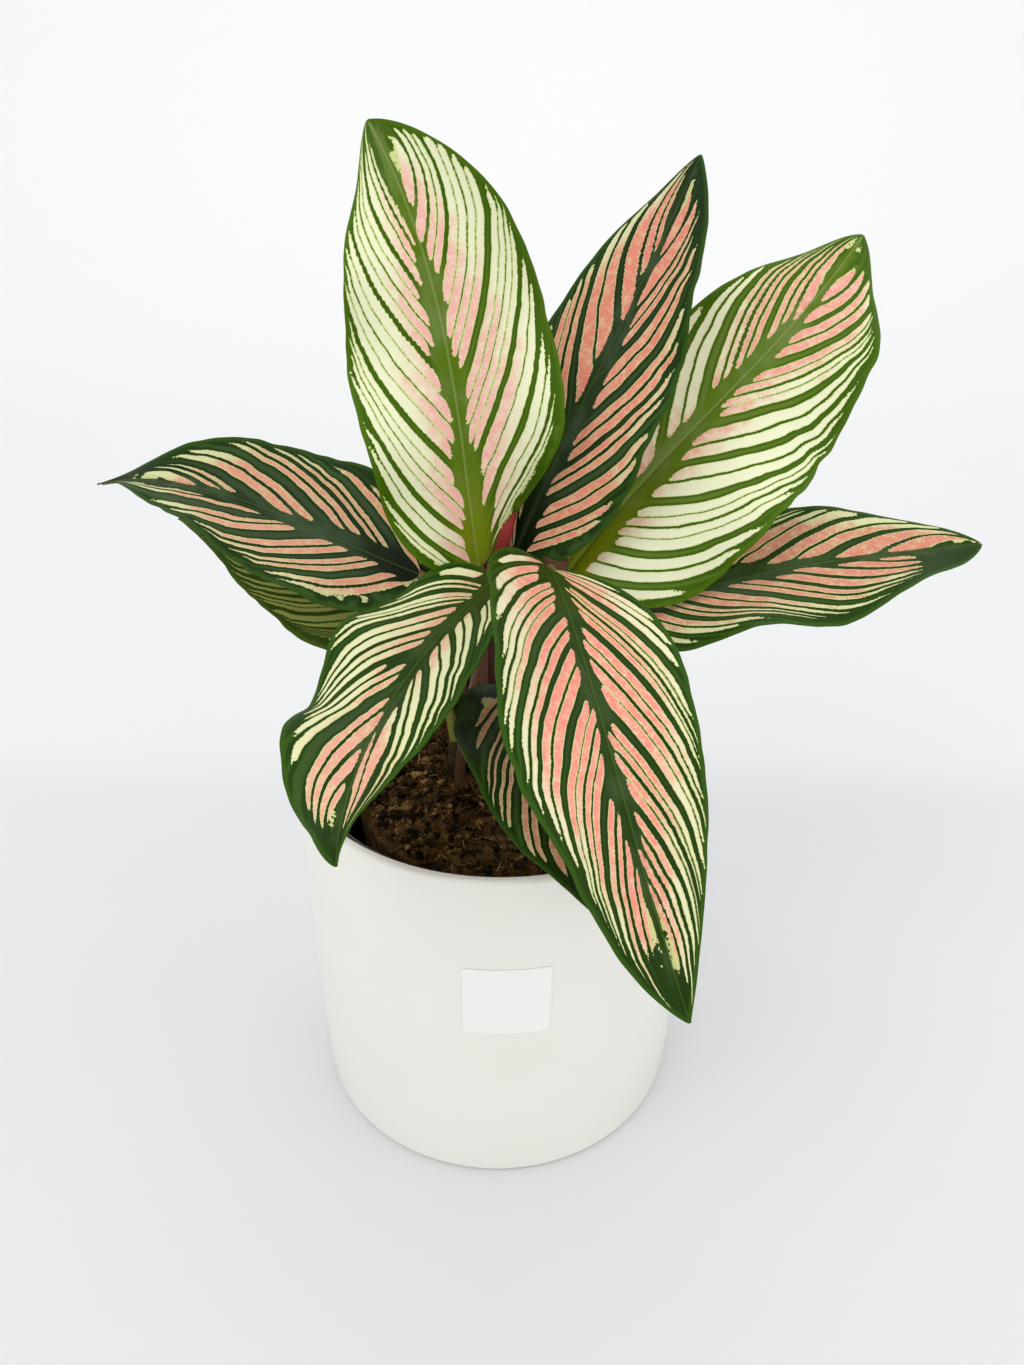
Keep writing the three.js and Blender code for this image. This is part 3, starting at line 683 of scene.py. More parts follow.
LEAVES = (
    Leaf(
        name="tall_left", foot=(-5, 3), base=(-6.8, 3, 187.2), length=122.5,
        rise=(81, 50), arch=12.5, heading=(162, 142), roll=(-38.5, -56),
        half_width=(27.8, 31.4), lift=(8, 2.5), curl=(15, 11.5),
        outline=((0.5, 0.73), (0.7, 0.78)), wave=((5, 2.5, 0.44), (8.5, 1.7, 0.74)),
        left=half("-4 3.5 2 60 96; 6.6 15.9 2 19 98; 18.2 36 4 14 98; "
                  "38.4 60 4 14 98; 61.2 79.4 4 17 94; 81.2 96 2 12 70; 97 102 1 12 45",
                  (0.34, 0.22), (0.28, 0.49, 0.45, 0.46, 0.64), (0.7, 0.26, 0.06)),
        right=half("0 9 2 55 90; 11 25 2 38 92; 28.8 43 2 18 95; 45.8 61.6 4 12 97; "
                   "64.8 80.6 4 8 97; 81.8 87.5 2 6 86; 88 91.5 1 6 74; 92 96.5 1 12 46",
                   (0.44, 0.2), (0.6, 0.62, 0.51, 0.35, 0.13), (0.55, 0.04, -0.57)),
        pink=rgb(246, 184, 172), cream=rgb(240, 242, 204), tone=Tone.BRIGHT_LIT_THROUGH, line_width=0.3,
        shoulder=(0.4, 0.1), drawn_tip=(0.1, 0.1), ruffle=(0.1, 0.15),
    ),
    Leaf(
        name="back_middle", foot=(6, 12), base=(3.7, 16.4, 185.3), length=126, reach=4,
        rise=(65, 63.5), arch=-5, heading=(33, 32), roll=(22.5, 9),
        half_width=(27.6, 28.8), lift=(11, 11.5), curl=(17.5, 15),
        outline=((0.44, 0.74), (0.42, 0.78)), wave=((0.9, 2.65, 0.27), (1.7, 2.9, 0.21)),
        left=half("4 15 2 30 92; 19 33 3 18 94; 38 54 3 15 92; 58 73 2 8 94; "
                  "76 86.5 1 5 84; 88 96.5 1 10 66; 97.5 103 1 8 42",
                  (0.9, 0.6), (0.8, 0.6, 0.49, 0.35, 0.61), (0, -0.1, 0.27)),
        right=half("5 11.5 2 28 93; 14 22 2 18 97; 26.5 34 2 10 92; 36.5 47 2 15 92; "
                   "52.5 64.5 2 15 84; 69 78 2 15 74; 79.5 87.5 1 16 62; "
                   "88.5 96.5 1 15 38",
                   (0.86, 0.85), (0.15, 0.37, 0.53, 0.54, 0.28), (0.5, 0.29, 0.15)),
        pink=rgb(228, 134, 114), cream=rgb(218, 220, 172), tone=Tone.DARK_SHADED,
        drawn_tip=(0.1, 0.0), ruffle=(0.1, 0.3),
    ),
    Leaf(
        name="right_high", foot=(11, 8), base=(20.8, 13.4, 182.3), length=147,
        rise=(50.5, 39), arch=-10.5, heading=(25, 45.5), roll=(38.5, 36),
        half_width=(31, 38.4), lift=(10, 9), curl=(18, 14),
        outline=((0.39, 0.7), (0.33, 0.63)), wave=((2.9, 2.55, 0.44), (6.5, 2.3, 0.5)),
        left=half("3 13 2 25 95; 16 34 4 16 96; 37 43.5 1 12 95; 46.5 56.5 2 12 98; "
                  "61.5 69 2 14 96; 70 78 2 11 94; 82 92 2 10 74; 94 103 1 5 45",
                  (0.12, 0.9), (0.7, 0.36, 0.44, 0.47, 0.49), (-0.1, 0.26, 0.01)),
        right=half("-3 1.5 1 30 92; 4.5 12 2 17 95; 14.5 29 4 17 96; 32 43 2 14 95; "
                   "46 57 2 10 94; 60.5 73 4 10 90; 76 84 2 9 88; 86 90.5 1 12 66; "
                   "91.5 97 1 15 42",
                   (0.12, 0.7), (0.18, 0.48, 0.55, 0.32, 0.17), (0.86, 0.35, -0.5)),
        pink=rgb(240, 160, 146), cream=rgb(238, 241, 204), tone=Tone.BRIGHT_LIT_THROUGH, line_width=0.8,
        shoulder=(0.1, 0.25), drawn_tip=(0.1, 0.2), ruffle=(0.1, 0.35),
    ),
    Leaf(
        name="right_low", foot=(13, 2), base=(29.7, 8.9, 167), length=122.5,
        rise=(23, 4), arch=-4, heading=(5, 6.5), roll=(14, 15),
        half_width=(27.2, 27.6), lift=(13.5, 11), curl=(11.5, 17.5),
        outline=((0.53, 0.78), (0.52, 0.78)), wave=((1.1, 2.65, 0.55), (4, 2.25, 0.44)),
        left=half("5 22 3 20 94; 27 38 2 20 95; 42 57 2 22 95; 60 75 2 12 95; "
                  "79 87.5 1 8 80; 88.5 97 1 8 56",
                  (0.62, 0.6), (0.9, 0.7, 0.4, 0.45, 0.24), (0, 0, 0.14)),
        right=half("3 9 2 25 90; 12 19.5 2 30 90; 23 28.5 2 8 92; 31 41 2 8 90; "
                   "47 57 2 10 84; 60 66.5 1 17 76; 69 76 1 12 66; 78.5 85 1 15 48; "
                   "87 92 1 18 30",
                   (0.66, 0.62), (0.1, 0.5, 0.65, 0.65, 0.45), (0.9, 0.5, 0.2)),
        pink=rgb(218, 136, 114), cream=rgb(216, 220, 172),
    ),
    Leaf(
        name="left", foot=(-10, 8), base=(-24.7, 4.8, 184), length=111.5,
        rise=(15.5, -17), arch=14, heading=(164.5, 163), roll=(-38, -11.5),
        half_width=(26, 25.6), lift=(16, 17), curl=(7.5, 4),
        outline=((0.44, 1.09), (0.42, 0.98)), wave=((1.7, 3, 0.49), (2.8, 1.6, 0.15)),
        left=half("3.5 9 1 42 92; 10.5 15 1 28 93; 20.5 27.5 2 10 92; 31 40 2 10 93; "
                  "46.5 57 2 12 90; 73 81 1 19 66; 84.5 89 1 26 60",
                  (0.76, 0.15), (0.37, 0.44, 0.39, 0.9, 0.9), (0.69, 0.22, 0.1)),
        right=half("4 9 1 45 80; 10.5 16 1 26 86; 23.5 30.5 2 17 94; "
                   "33.5 43.5 2 15 92; 52 58 1 15 84; 60 67 1 12 76; 76 83 2 8 54; "
                   "86 92 1 8 38",
                   (0.8, -0.1), (0.57, 0.48, 0.56, 0.63, 0.32), (0.14, 0.15, 0.21)),
        pink=rgb(222, 148, 124), cream=rgb(212, 212, 162), tone=Tone.DARK_SHADED,
        drawn_tip=(0.15, 0.15), ruffle=(0.3, 0.2),
    ),
    Leaf(
        name="left_under", foot=(-14, 3), base=(-26.9, 10.8, 158), length=94,
        rise=(25, -3.5), arch=9.5, heading=(153.5, 160), roll=(-25, -20),
        half_width=(21.6, 21), lift=(3, 4), curl=(17, 15),
        outline=((0.61, 1.11), (0.51, 0.97)), wave=((1.2, 3.1, 0.81), (2, 2.8, 0.5)),
        left=half("3 10 2 25 92; 13 18 2 22 93; 21.5 30 2 16 96; 32 40 3 15 95; "
                  "42 49 2 15 92; 54 64 2 15 88; 68 80 3 14 76; 84 94 1 12 58",
                  (0, 0), (0.75, 0.3, 0.42, 0.13, 0.03), (0.28, 0.47, 0.23)),
        right=half("3 12 2 25 92; 16 27 2 18 93; 31 49 4 15 92; 54 66 2 13 88; "
                   "70 82 2 14 74; 86 94 1 14 50",
                   (0, 0), (0.75, 0.3, 0.42, 0.13, 0.03), (0.28, 0.47, 0.23)),
        # Its pink and cream are muted towards olive by painted shade, as is its tone.
        pink=rgb(164, 150, 84), cream=rgb(156, 164, 88), tone=Tone.SHADED, line_width=0.8,
    ),
    Leaf(
        name="front_left", foot=(-13, -4), base=(-1.3, -10, 190.3), length=106.5,
        rise=(-27, -10), arch=3.5, heading=(224.5, 275.5), roll=(3, 23.5),
        half_width=(23.8, 25.6), lift=(19.5, 18), curl=(10.5, 12),
        outline=((0.32, 0.95), (0.37, 0.68)), wave=((5.2, 0.9, 0.2), (3.9, 3, 0.27)),
        left=half("2 7 1 45 90; 10.5 17 2 42 84; 21.5 30 2 18 94; 33 44.5 2 14 94; "
                  "49.5 63 2 16 92; 69 95 1 26 54; 97 114 1 11 34",
                  (0.16, 0.95), (0.19, 0.47, 0.59, 1.0, 1.0), (0.78, 0.47, 0.1)),
        right=half("2 5 1 35 84; 7 10.5 2 8 96; 13 20.5 3 8 96; 24 33 2 10 94; "
                   "34.5 42 2 12 90; 45 48 1 35 86; 49 58.5 2 10 86; 68 74 1 8 72; "
                   "75.5 81.5 1 6 70; 83.5 89 1 9 58; 90 93.5 1 14 36",
                   (0.3, 0.7), (0.03, 0.42, 0.36, 0.53, 0.28), (0.8, 0.05, 0.07)),
        pink=rgb(236, 164, 142), cream=rgb(230, 229, 184),
        drawn_tip=(0.35, 0.35), ruffle=(0.3, 0.2),
    ),
    Leaf(
        name="front_right", foot=(7, -3), base=(14.5, -3.8, 189.6), length=133.5,
        rise=(-0.5, -41), arch=-14.5, heading=(279.5, 293.5), roll=(-26, 7.5),
        half_width=(25.2, 33.2), lift=(19.5, 19), curl=(-2, 2.5),
        outline=((0.49, 0.94), (0.45, 0.82)), wave=((0.4, 2.65, 0.5), (3.9, 2.25, 0.6)),
        left=half("-6 -1 1 40 90; 1 15 3 24 95; 19.5 33.5 4 16 97; 37 56 4 11 96; "
                  "59.5 73 4 8 93; 75.5 86 2 8 84; 88 95.5 1 5 56; 96.5 103 1 6 30",
                  (0.62, 0.28), (0.3, 0.52, 0.45, 0.35, 0.5), (0.4, 0.12, 0.03)),
        right=half("1 4.5 1 48 90; 7 15 2 36 96; 16.5 28 4 18 95; 31.8 39 2 8 93; "
                   "41 50.5 2 12 92; 54 69.5 4 12 86; 73.5 83.5 2 13 78; "
                   "85.5 93.5 1 16 50; 95 101 1 16 32",
                   (0.66, 0.5), (0.18, 0.4, 0.53, 0.51, 0.66), (0.34, 0.35, 0.06)),
        pink=rgb(248, 146, 132), cream=rgb(236, 230, 192), line_width=0.95,
        ruffle=(0.1, 0.3),
    ),
    Leaf(
        name="front_small", foot=(1, -9), base=(3, -13.6, 155.8), length=86.5,
        rise=(2, -30), arch=1.5, heading=(281, 292.5), roll=(-6, 4.5),
        half_width=(19.6, 22.6), lift=(13, 16), curl=(15, 4.5),
        outline=((0.52, 0.9), (0.59, 0.96)), wave=((2, 2.8, 0.5), (2.2, 2.25, 0.18)),
        left=half("11 18 2 36 78; 22 36 3 12 93; 40 54 3 11 92; 58 70 2 10 86; "
                  "74 83 1 12 66; 86 93 1 12 42",
                  (0.8, 0.55), (0.43, 0.54, 0.45, 0.4, 0.17), (0.45, -0.11, 0.16)),
        right=half("14.5 19 1 22 74; 21.5 25.5 1 18 82; 34.5 40.5 2 12 94; "
                   "44 51.5 2 12 92; 58.5 62.8 1 12 88; 64.5 69 1 12 84; "
                   "75 83 1 12 62; 86 93 1 12 40",
                   (0.95, 0.8), (0.43, 0.54, 0.45, 0.4, 0.17), (0.45, -0.11, 0.16)),
        pink=rgb(216, 142, 116), cream=rgb(226, 222, 178), tone=Tone.DARK_SHADED,
    ),
)


@dataclass(frozen=True)
class StripeSizes:
    """How stripes are drawn: lengths in millimetres, shares of the way out or of a lane."""

    wobble: float = 0.7
    usual_lane: float = 0.035
    jag: float = 0.6
    start_share: float = 0.05
    end_share: float = 0.08
    end_power: float = 0.6
    fullness: float = 0.53
    outline: float = 0.42
    outline_share: float = 0.9
    line_start: float = 0.12
    least_line: float = 0.03
    gloss: float = 0.36


class UpperFace:
    """The striped, satin upper face of one blade."""

    def __init__(self, leaf: Leaf, seed: int) -> None:
        """Start a leaf's material, and read its maps.

        Args:
            leaf: The leaf.
            seed: The number that its small differences start from.
        """
        self.leaf = leaf
        self.palette = leaf.tone.value
        self.sizes = StripeSizes()
        self.draw = random.Random(seed)
        self.board = board = Board(f"upper_{leaf.name}")
        lane, way = board.map("lanes")
        self.from_rib, self.from_margin = board.map("span")
        self.gauge, self.along = board.map("gauge")
        self.out = abs(way)
        self.right = way.above(0.0)
        self.tear = board.noise(1300.0, 1.0) - 0.5
        drift = (board.noise(140.0) - 0.5) / (self.gauge * self.sizes.usual_lane).at_least(0.8)
        self.lane = drift * self.sizes.wobble + lane
        self.bare: Value | None = None
        self.to_edge: Value | None = None
        self.blush: Value | None = None

    def read(self, index: Value, rows: list[list[Row]]) -> tuple[Value, ...]:
        """The four numbers of a lane, or of a lane's edge, on the half that the point is on."""
        board = self.board
        at = (index + 0.5) / float(TABLE_ROWS)
        (first, first_last), (second, second_last) = (board.table(at, side) for side in rows)
        last = board.between(self.right, first_last, second_last)
        return *board.parts(board.mix(self.right, first, second)), last

    def stripes(self) -> tuple[Value, Value]:
        """Where the stripes are, and how deep inside a stripe a point lies, in millimetres."""
        sizes, leaf = self.sizes, self.leaf
        halves = leaf.left, leaf.right
        number = self.lane.whole()
        rows = [side.lane_rows(self.draw) for side in halves]
        near, far, self.blush, quarter = self.read(number, rows)
        rows = [side.line_rows(self.draw) for side in halves]
        line, strength, begin, _ = self.read(self.lane.nearest(), rows)
        wide = quarter * 0.25 * self.gauge
        off = abs(self.lane - number - 0.5) * wide
        self.bare = near.above(0.98)
        self.to_edge = wide * 0.5 - off

        ragged = self.tear * 0.05 + self.out
        start = 1.0 - ((ragged - near) / sizes.start_share).at_least(0.0).at_most(1.0)
        start = (1.0 - start * start).at_least(0.0).root()
        end = ((far - ragged) / sizes.end_share).at_least(0.0).at_most(1.0) ** sizes.end_power
        half_width = start * end * (wide * sizes.fullness)
        tear = self.tear * sizes.jag * (half_width * 1.4).at_most(1.0)
        inside = half_width - off - tear
        line = line * self.out.ease(begin, begin + sizes.line_start) * leaf.line_width
        beside = self.to_edge - (tear * 0.7 + line)
        drawn = strength * line.above(sizes.least_line)
        cut = 1.0 - beside.ease(-0.05, 0.08)
        return inside.ease(0.0, 0.1) * (1.0 - cut * drawn), inside.at_most(beside)

    def fill(self, depth: Value) -> Value:
        """The stripes' own colour, pink near the midrib and cream further out.

        Args:
            depth: How deep inside a stripe a point lies.

        Returns:
            The colour.
        """
        board, leaf = self.board, self.leaf
        onward = self.along.ease(0.5, 0.86)
        reaches = [board.between(onward, side.pink_base, side.pink_tip)
                   for side in (leaf.left, leaf.right)]
        turn = (board.noise(240.0, 3.0) - 0.5) * 0.5 + self.out + (self.blush - 0.5) * 0.3
        paling = (turn - board.between(self.right, *reaches)).ease(-0.14, 0.24)
        fibre = board.noise(420.0, 1.0) * 0.6 + board.noise(1500.0, 3.0, 0.7)
        rim = depth.ease(self.sizes.outline, 0.1) * self.sizes.outline_share
        return board.layers(
            leaf.pink, (paling, leaf.cream), (fibre.ease(0.7, 1.05) * 0.55, leaf.cream),
            (rim, self.palette.outline))

    def ground(self) -> Value:
        """The greens and painted sheen between the stripes, along the midrib and at the margin."""
        board, palette = self.board, self.palette
        # Painted sheen: grey-green gloss in patches along the midrib, and in the middle of wide
        # gaps.
        sheen_near_rib = board.noise(85.0).ease(0.38, 0.66) * self.from_rib.ease(7.0, 1.5) * 0.8
        sheen_in_gaps = self.bare * self.to_edge.ease(0.4, 1.6) * 0.5
        hug = self.to_edge.ease(1.1, 0.2) * self.out.ease(0.1, 0.22) * 0.85
        # The palette's base colour at the blade's foot: its olive tint on most tones, painted shade
        # on the darkest.
        foot = self.along.ease(0.3, 0.04) * self.from_rib.ease(9.0, 3.0)
        vein = self.from_rib.ease(board.between(self.along, 0.75, 0.35), 0.15) * 0.36
        return board.layers(
            palette.ground, (self.out.ease(0.3, 0.95), palette.margin),
            (sheen_near_rib.at_least(sheen_in_gaps), palette.painted_sheen), (hug, palette.deep),
            (foot, palette.base), (vein, palette.rib),
            (self.from_margin.ease(1.8, 0.5), palette.margin))

    def relief(self) -> Value:
        """The height of the side veins' pleats, the grain and the groove over the midrib."""
        pleat = (self.lane * math.tau).cosine() * self.out.ease(0.0, 0.15) * 0.22
        return self.from_rib.ease(0.0, 1.3) * 2.2 + self.board.noise(1400.0) * 0.5 + pleat

    def make(self) -> Material:
        """The finished material."""
        board = self.board
        stripe, depth = self.stripes()
        colour = board.mix(stripe, self.ground(), self.fill(depth))
        colour = board.mix(1.0, colour, board.noise(3000.0) * 0.16 + 0.92, "MULTIPLY")
        board.bump(self.relief(), 0.5, 0.00035)
        rough = board.noise(400.0) * 0.16 + self.sizes.gloss
        return board.finish(colour, rough, Specular_IOR_Level=0.1)


@dataclass(frozen=True)
class UnderFinish:
    """The wine-red, matte lower face of a blade."""

    wine: Colour = rgb(98, 38, 54)
    dusk: Colour = rgb(70, 34, 44)
    vein: Colour = rgb(112, 56, 62)
    rib: Colour = rgb(128, 96, 66)
    margin: Colour = rgb(96, 74, 60)
    roughness: float = 0.55

    def make(self) -> Material:
        """The lower face's material, with raised side veins."""
        board = Board("under_blade")
        lane, _ = board.map("lanes")
        from_rib, from_margin = board.map("span")
        vein = (lane * math.tau).cosine()
        colour = board.layers(
            self.wine, (board.noise(120.0, 3.0).ease(0.3, 0.7), self.dusk),
            (vein.ease(0.6, 1.0), self.vein), (from_rib.ease(2.0, 0.4), self.rib),
            (from_margin.ease(2.0, 0.0), self.margin))
        board.bump(vein * 0.4 + board.noise(1600.0), 0.5, 0.0003)
        return board.finish(colour, self.roughness, Specular_IOR_Level=0.25)


@dataclass(frozen=True)
class HemFinish:
    """The thin pinkish-brown edge of a blade, and the keel under its midrib."""

    edge: Colour = rgb(104, 92, 70)
    keel: Colour = rgb(138, 104, 74)
    shade: Colour = rgb(70, 60, 50)

    def make(self, name: str, colour: Colour) -> Material:
        """An edge or keel material of a colour."""
        board = Board(name)
        mixed = board.mix(board.noise(700.0) * 0.4, colour, self.shade)
        board.bump(board.noise(2500.0), 0.2, 0.0001)
        return board.finish(mixed, 0.5, Specular_IOR_Level=0.4)


class Foliage:
    """All the blades, each a thin closed sheet with a keel under its midrib."""

    ROWS = 150
    COLUMNS = 56
    CROWDING = 0.11
    EDGE_POWER = 0.9
    THICKNESS = 0.4
    KEEL_START = 1.0
    KEEL_END = 0.3
    KEEL_REACH = 0.985
    KEEL_STEPS = 48
    KEEL_GAP = 0.02
    LEAST_OUT = 1e-4
    FIRST_SEED = 100
    UNDER, EDGE, KEEL = 1, 2, 3

    def __init__(self, leaves: tuple[Leaf, ...]) -> None:
        """Take the leaves, and make the finishes that they share."""
        self.leaves = leaves
        hem = HemFinish()
        self.under = UnderFinish().make()
        self.edge = hem.make("blade_edge", hem.edge)
        self.keel = hem.make("blade_keel", hem.keel)

    def build(self) -> list[Piece]:
        """Build and dress every blade."""
        return [self.blade(leaf, seed) for seed, leaf in enumerate(self.leaves, self.FIRST_SEED)]

    def sheet(self, leaf: Leaf) -> Piece:
        """A flat grid moved onto the blade's middle surface, with its maps.

        Args:
            leaf: The leaf.

        Returns:
            The open sheet.
        """
        piece = grid(f"blade_{leaf.name}", self.COLUMNS, self.ROWS)
        mesh = piece.data
        flat = np.zeros(len(mesh.vertices) * 3)
        mesh.vertices.foreach_get("co", flat)
        flat = flat.reshape(-1, 3)
        across = np.round((flat[:, 0] + 0.5) * self.COLUMNS) / self.COLUMNS * 2.0 - 1.0
        even = np.round((flat[:, 1] + 0.5) * self.ROWS) / self.ROWS
        v = np.sign(across) * np.abs(across) ** self.EDGE_POWER
        u = even - self.CROWDING * np.sin(math.tau * even)
        mesh.vertices.foreach_set("co", (leaf.surface(u, v) * MM).ravel())
        self.chart(mesh, leaf, u, v)
        mesh.update()
        return piece

    def chart(self, mesh: bpy.types.Mesh, leaf: Leaf, u: Array, v: Array) -> None:
        """Write the maps that the finishes read.

        They are the lane and the signed way out, the distances from midrib and margin, and the
        gauge with the place along the blade.

        Args:
            mesh: The sheet's mesh.
            leaf: The leaf.
            u: Each vertex's place along the midrib.
            v: Each vertex's place across.
        """
        share = np.abs(v)
        corners = np.zeros(len(mesh.loops), dtype=int)
        mesh.loops.foreach_get("vertex_index", corners)
        on_left = np.repeat(v[corners].reshape(-1, 4).mean(1) < 0.0, 4)
        sides = []
        for side, half_blade in enumerate((leaf.left, leaf.right)):
            middle = half_blade.middle(u, share)
            widths = leaf.width(side, u)
            gauge = half_blade.gauge(middle, share, leaf.length, widths)
            sides.append(np.stack([half_blade.lane(middle), widths, gauge]))
        lanes, widths, gauge = np.where(on_left, sides[0][:, corners], sides[1][:, corners])
        out = np.maximum(share[corners], self.LEAST_OUT)
        maps = {
            "lanes": (lanes, np.where(on_left, -out, out)),
            "span": (share[corners] * widths, (1.0 - share[corners]) * widths),
            "gauge": (gauge, u[corners]),
        }
        while mesh.uv_layers:
            mesh.uv_layers.remove(mesh.uv_layers[0])
        for name, pair in maps.items():
            mesh.uv_layers.new(name=name).data.foreach_set("uv", np.stack(pair, -1).ravel())

    def rib(self, leaf: Leaf) -> Piece:
        """The tapering keel under the midrib, as a round tube."""
        places = np.linspace(0.0, self.KEEL_REACH, self.KEEL_STEPS)
        up, _ = leaf.axes(places)
        radii = np.interp(places, (0.0, 1.0), (self.KEEL_START, self.KEEL_END))
        centres = leaf.midrib(places) - up * (radii + self.KEEL_GAP)[:, None]
        return tube(f"keel_{leaf.name}", centres, radii, sides=3)

    def blade(self, leaf: Leaf, seed: int) -> Piece:
        """One blade, thickened, joined to its keel and dressed.

        Args:
            leaf: The leaf.
            seed: The number that its pattern's small differences start from.

        Returns:
            The finished blade.
        """
        piece = self.sheet(leaf)
        apply_modifier(
            piece, "SOLIDIFY", thickness=self.THICKNESS * MM, offset=0.0,
            material_offset=self.UNDER, material_offset_rim=self.EDGE, use_rim=True)
        dress(piece, UpperFace(leaf, seed).make(), self.under, self.edge, self.keel)
        keel = self.rib(leaf)
        dress(keel, *list(piece.data.materials))
        faces = keel.data.polygons
        faces.foreach_set("material_index", [self.KEEL] * len(faces))
        active(piece)
        keel.select_set(True)
        bpy.ops.object.join()
        smooth(piece)
        return keep(piece, f"leaf_{leaf.name}", f"leaf_{leaf.name}")


def tube(name: str, centres: Array, radii: Array, sides: int) -> Piece:
    """A round tube along points, closed at both ends.

    Args:
        name: The piece's name.
        centres: Points of its middle line, in millimetres.
        radii: Its radius at each point, in millimetres.
        sides: How finely its round is cut, as a curve's bevel resolution.

    Returns:
        The tube as a mesh.
    """
    lone_selection()
    bpy.ops.curve.primitive_nurbs_path_add(location=(0, 0, 0))
    curve = named(name)
    data = curve.data
    data.splines.clear()
    spline = data.splines.new("POLY")
    spline.points.add(len(centres) - 1)
    spline.use_smooth = True
    for point, centre, radius in zip(spline.points, centres * MM, radii * MM):
        point.co = (*centre, 1.0)
        point.radius = float(radius)
    data.dimensions = "3D"
    data.bevel_depth = 1.0
    data.bevel_resolution = sides
    data.use_fill_caps = True
    active(curve)
    bpy.ops.object.convert(target="MESH")
    piece = bpy.context.active_object
    weld(piece)
    return piece


def turned(name: str, profile: list[Pair], segments: int) -> Piece:
    """A closed round body, drawn out ring by ring from its base.

    Args:
        name: The piece's name.
        profile: Radius and height of each ring, in millimetres.
        segments: How many sides its round has.

    Returns:
        The body.
    """
    lone_selection()
    radius, height = profile[0]
    bpy.ops.mesh.primitive_circle_add(
        vertices=segments, radius=radius * MM, fill_type="NGON", location=(0, 0, height * MM))
    piece = named(name)
    open_mesh(piece)
    for wider, higher in profile[1:]:
        bpy.ops.mesh.extrude_region_move(
            TRANSFORM_OT_translate={"value": (0, 0, (higher - height) * MM)})
        share = wider / radius
        bpy.ops.transform.resize(value=(share, share, 1.0), center_override=(0, 0, higher * MM))
        radius, height = wider, higher
    close_mesh()
    bpy.ops.object.transform_apply(location=True, rotation=True, scale=True)
    smooth(piece)
    return piece


def rounded(middle: Pair, start: float, end: float, size: float) -> list[Pair]:
    """Points of a rounded corner.

    Args:
        middle: The round's middle, as its distance from the axis and its height.
        start: Angle where it starts, in degrees from outwards to upwards.
        end: Angle where it ends.
        size: Radius of the round.

    Returns:
        Radius and height of each point.
    """
    angles = np.radians(np.linspace(start, end, 7))
    return [(middle[0] + size * math.cos(a), middle[1] + size * math.sin(a)) for a in angles]


@dataclass(frozen=True)
class GlazeFinish:
    """Warm off-white glaze with the faintest mottling."""

    white: Colour = rgb(243, 242, 234)
    warm: Colour = rgb(241, 240, 231)
    speck: Colour = rgb(190, 180, 160)
    roughness: float = 0.28

    def make(self) -> Material:
        """The glaze, a little warmer where it pooled, with soft ripples."""
        board = Board("glaze")
        colour = board.layers(
            self.white, (board.noise(28.0, 3.0).ease(0.35, 0.75), self.warm),
            (board.noise(900.0, 1.0).ease(0.74, 0.8) * 0.1, self.speck))
        board.bump(board.noise(60.0), 0.25, 0.0004)
        rough = board.noise(90.0) * 0.1 + self.roughness
        return board.finish(colour, rough, Coat_Weight=0.3, Coat_Roughness=0.12)


@dataclass(frozen=True)
class PlasticFinish:
    """Black moulded plastic, satin and a little dusty."""

    black: Colour = rgb(46, 48, 52)
    dust: Colour = rgb(84, 78, 72)

    def make(self) -> Material:
        """The plastic, with fine turning marks and patches of dust."""
        board = Board("black_plastic")
        dust = board.noise(220.0, 4.0).ease(0.5, 0.75) * 0.35
        board.bump(board.noise(60.0, stretch=(1.0, 1.0, 40.0)), 0.15, 0.0002)
        return board.finish(board.mix(dust, self.black, self.dust), 0.45, Specular_IOR_Level=0.5)


@dataclass(frozen=True)
class PaperFinish:
    """Plain white label paper."""

    white: Colour = rgb(250, 250, 248)
    grey: Colour = rgb(228, 226, 220)

    def make(self) -> Material:
        """The paper, with the faintest grain."""
        board = Board("label_paper")
        grain = board.noise(1800.0)
        board.bump(grain, 0.1, 0.0001)
        colour = board.mix(grain * 0.08, self.white, self.grey)
        return board.finish(colour, 0.62, Specular_IOR_Level=0.35)


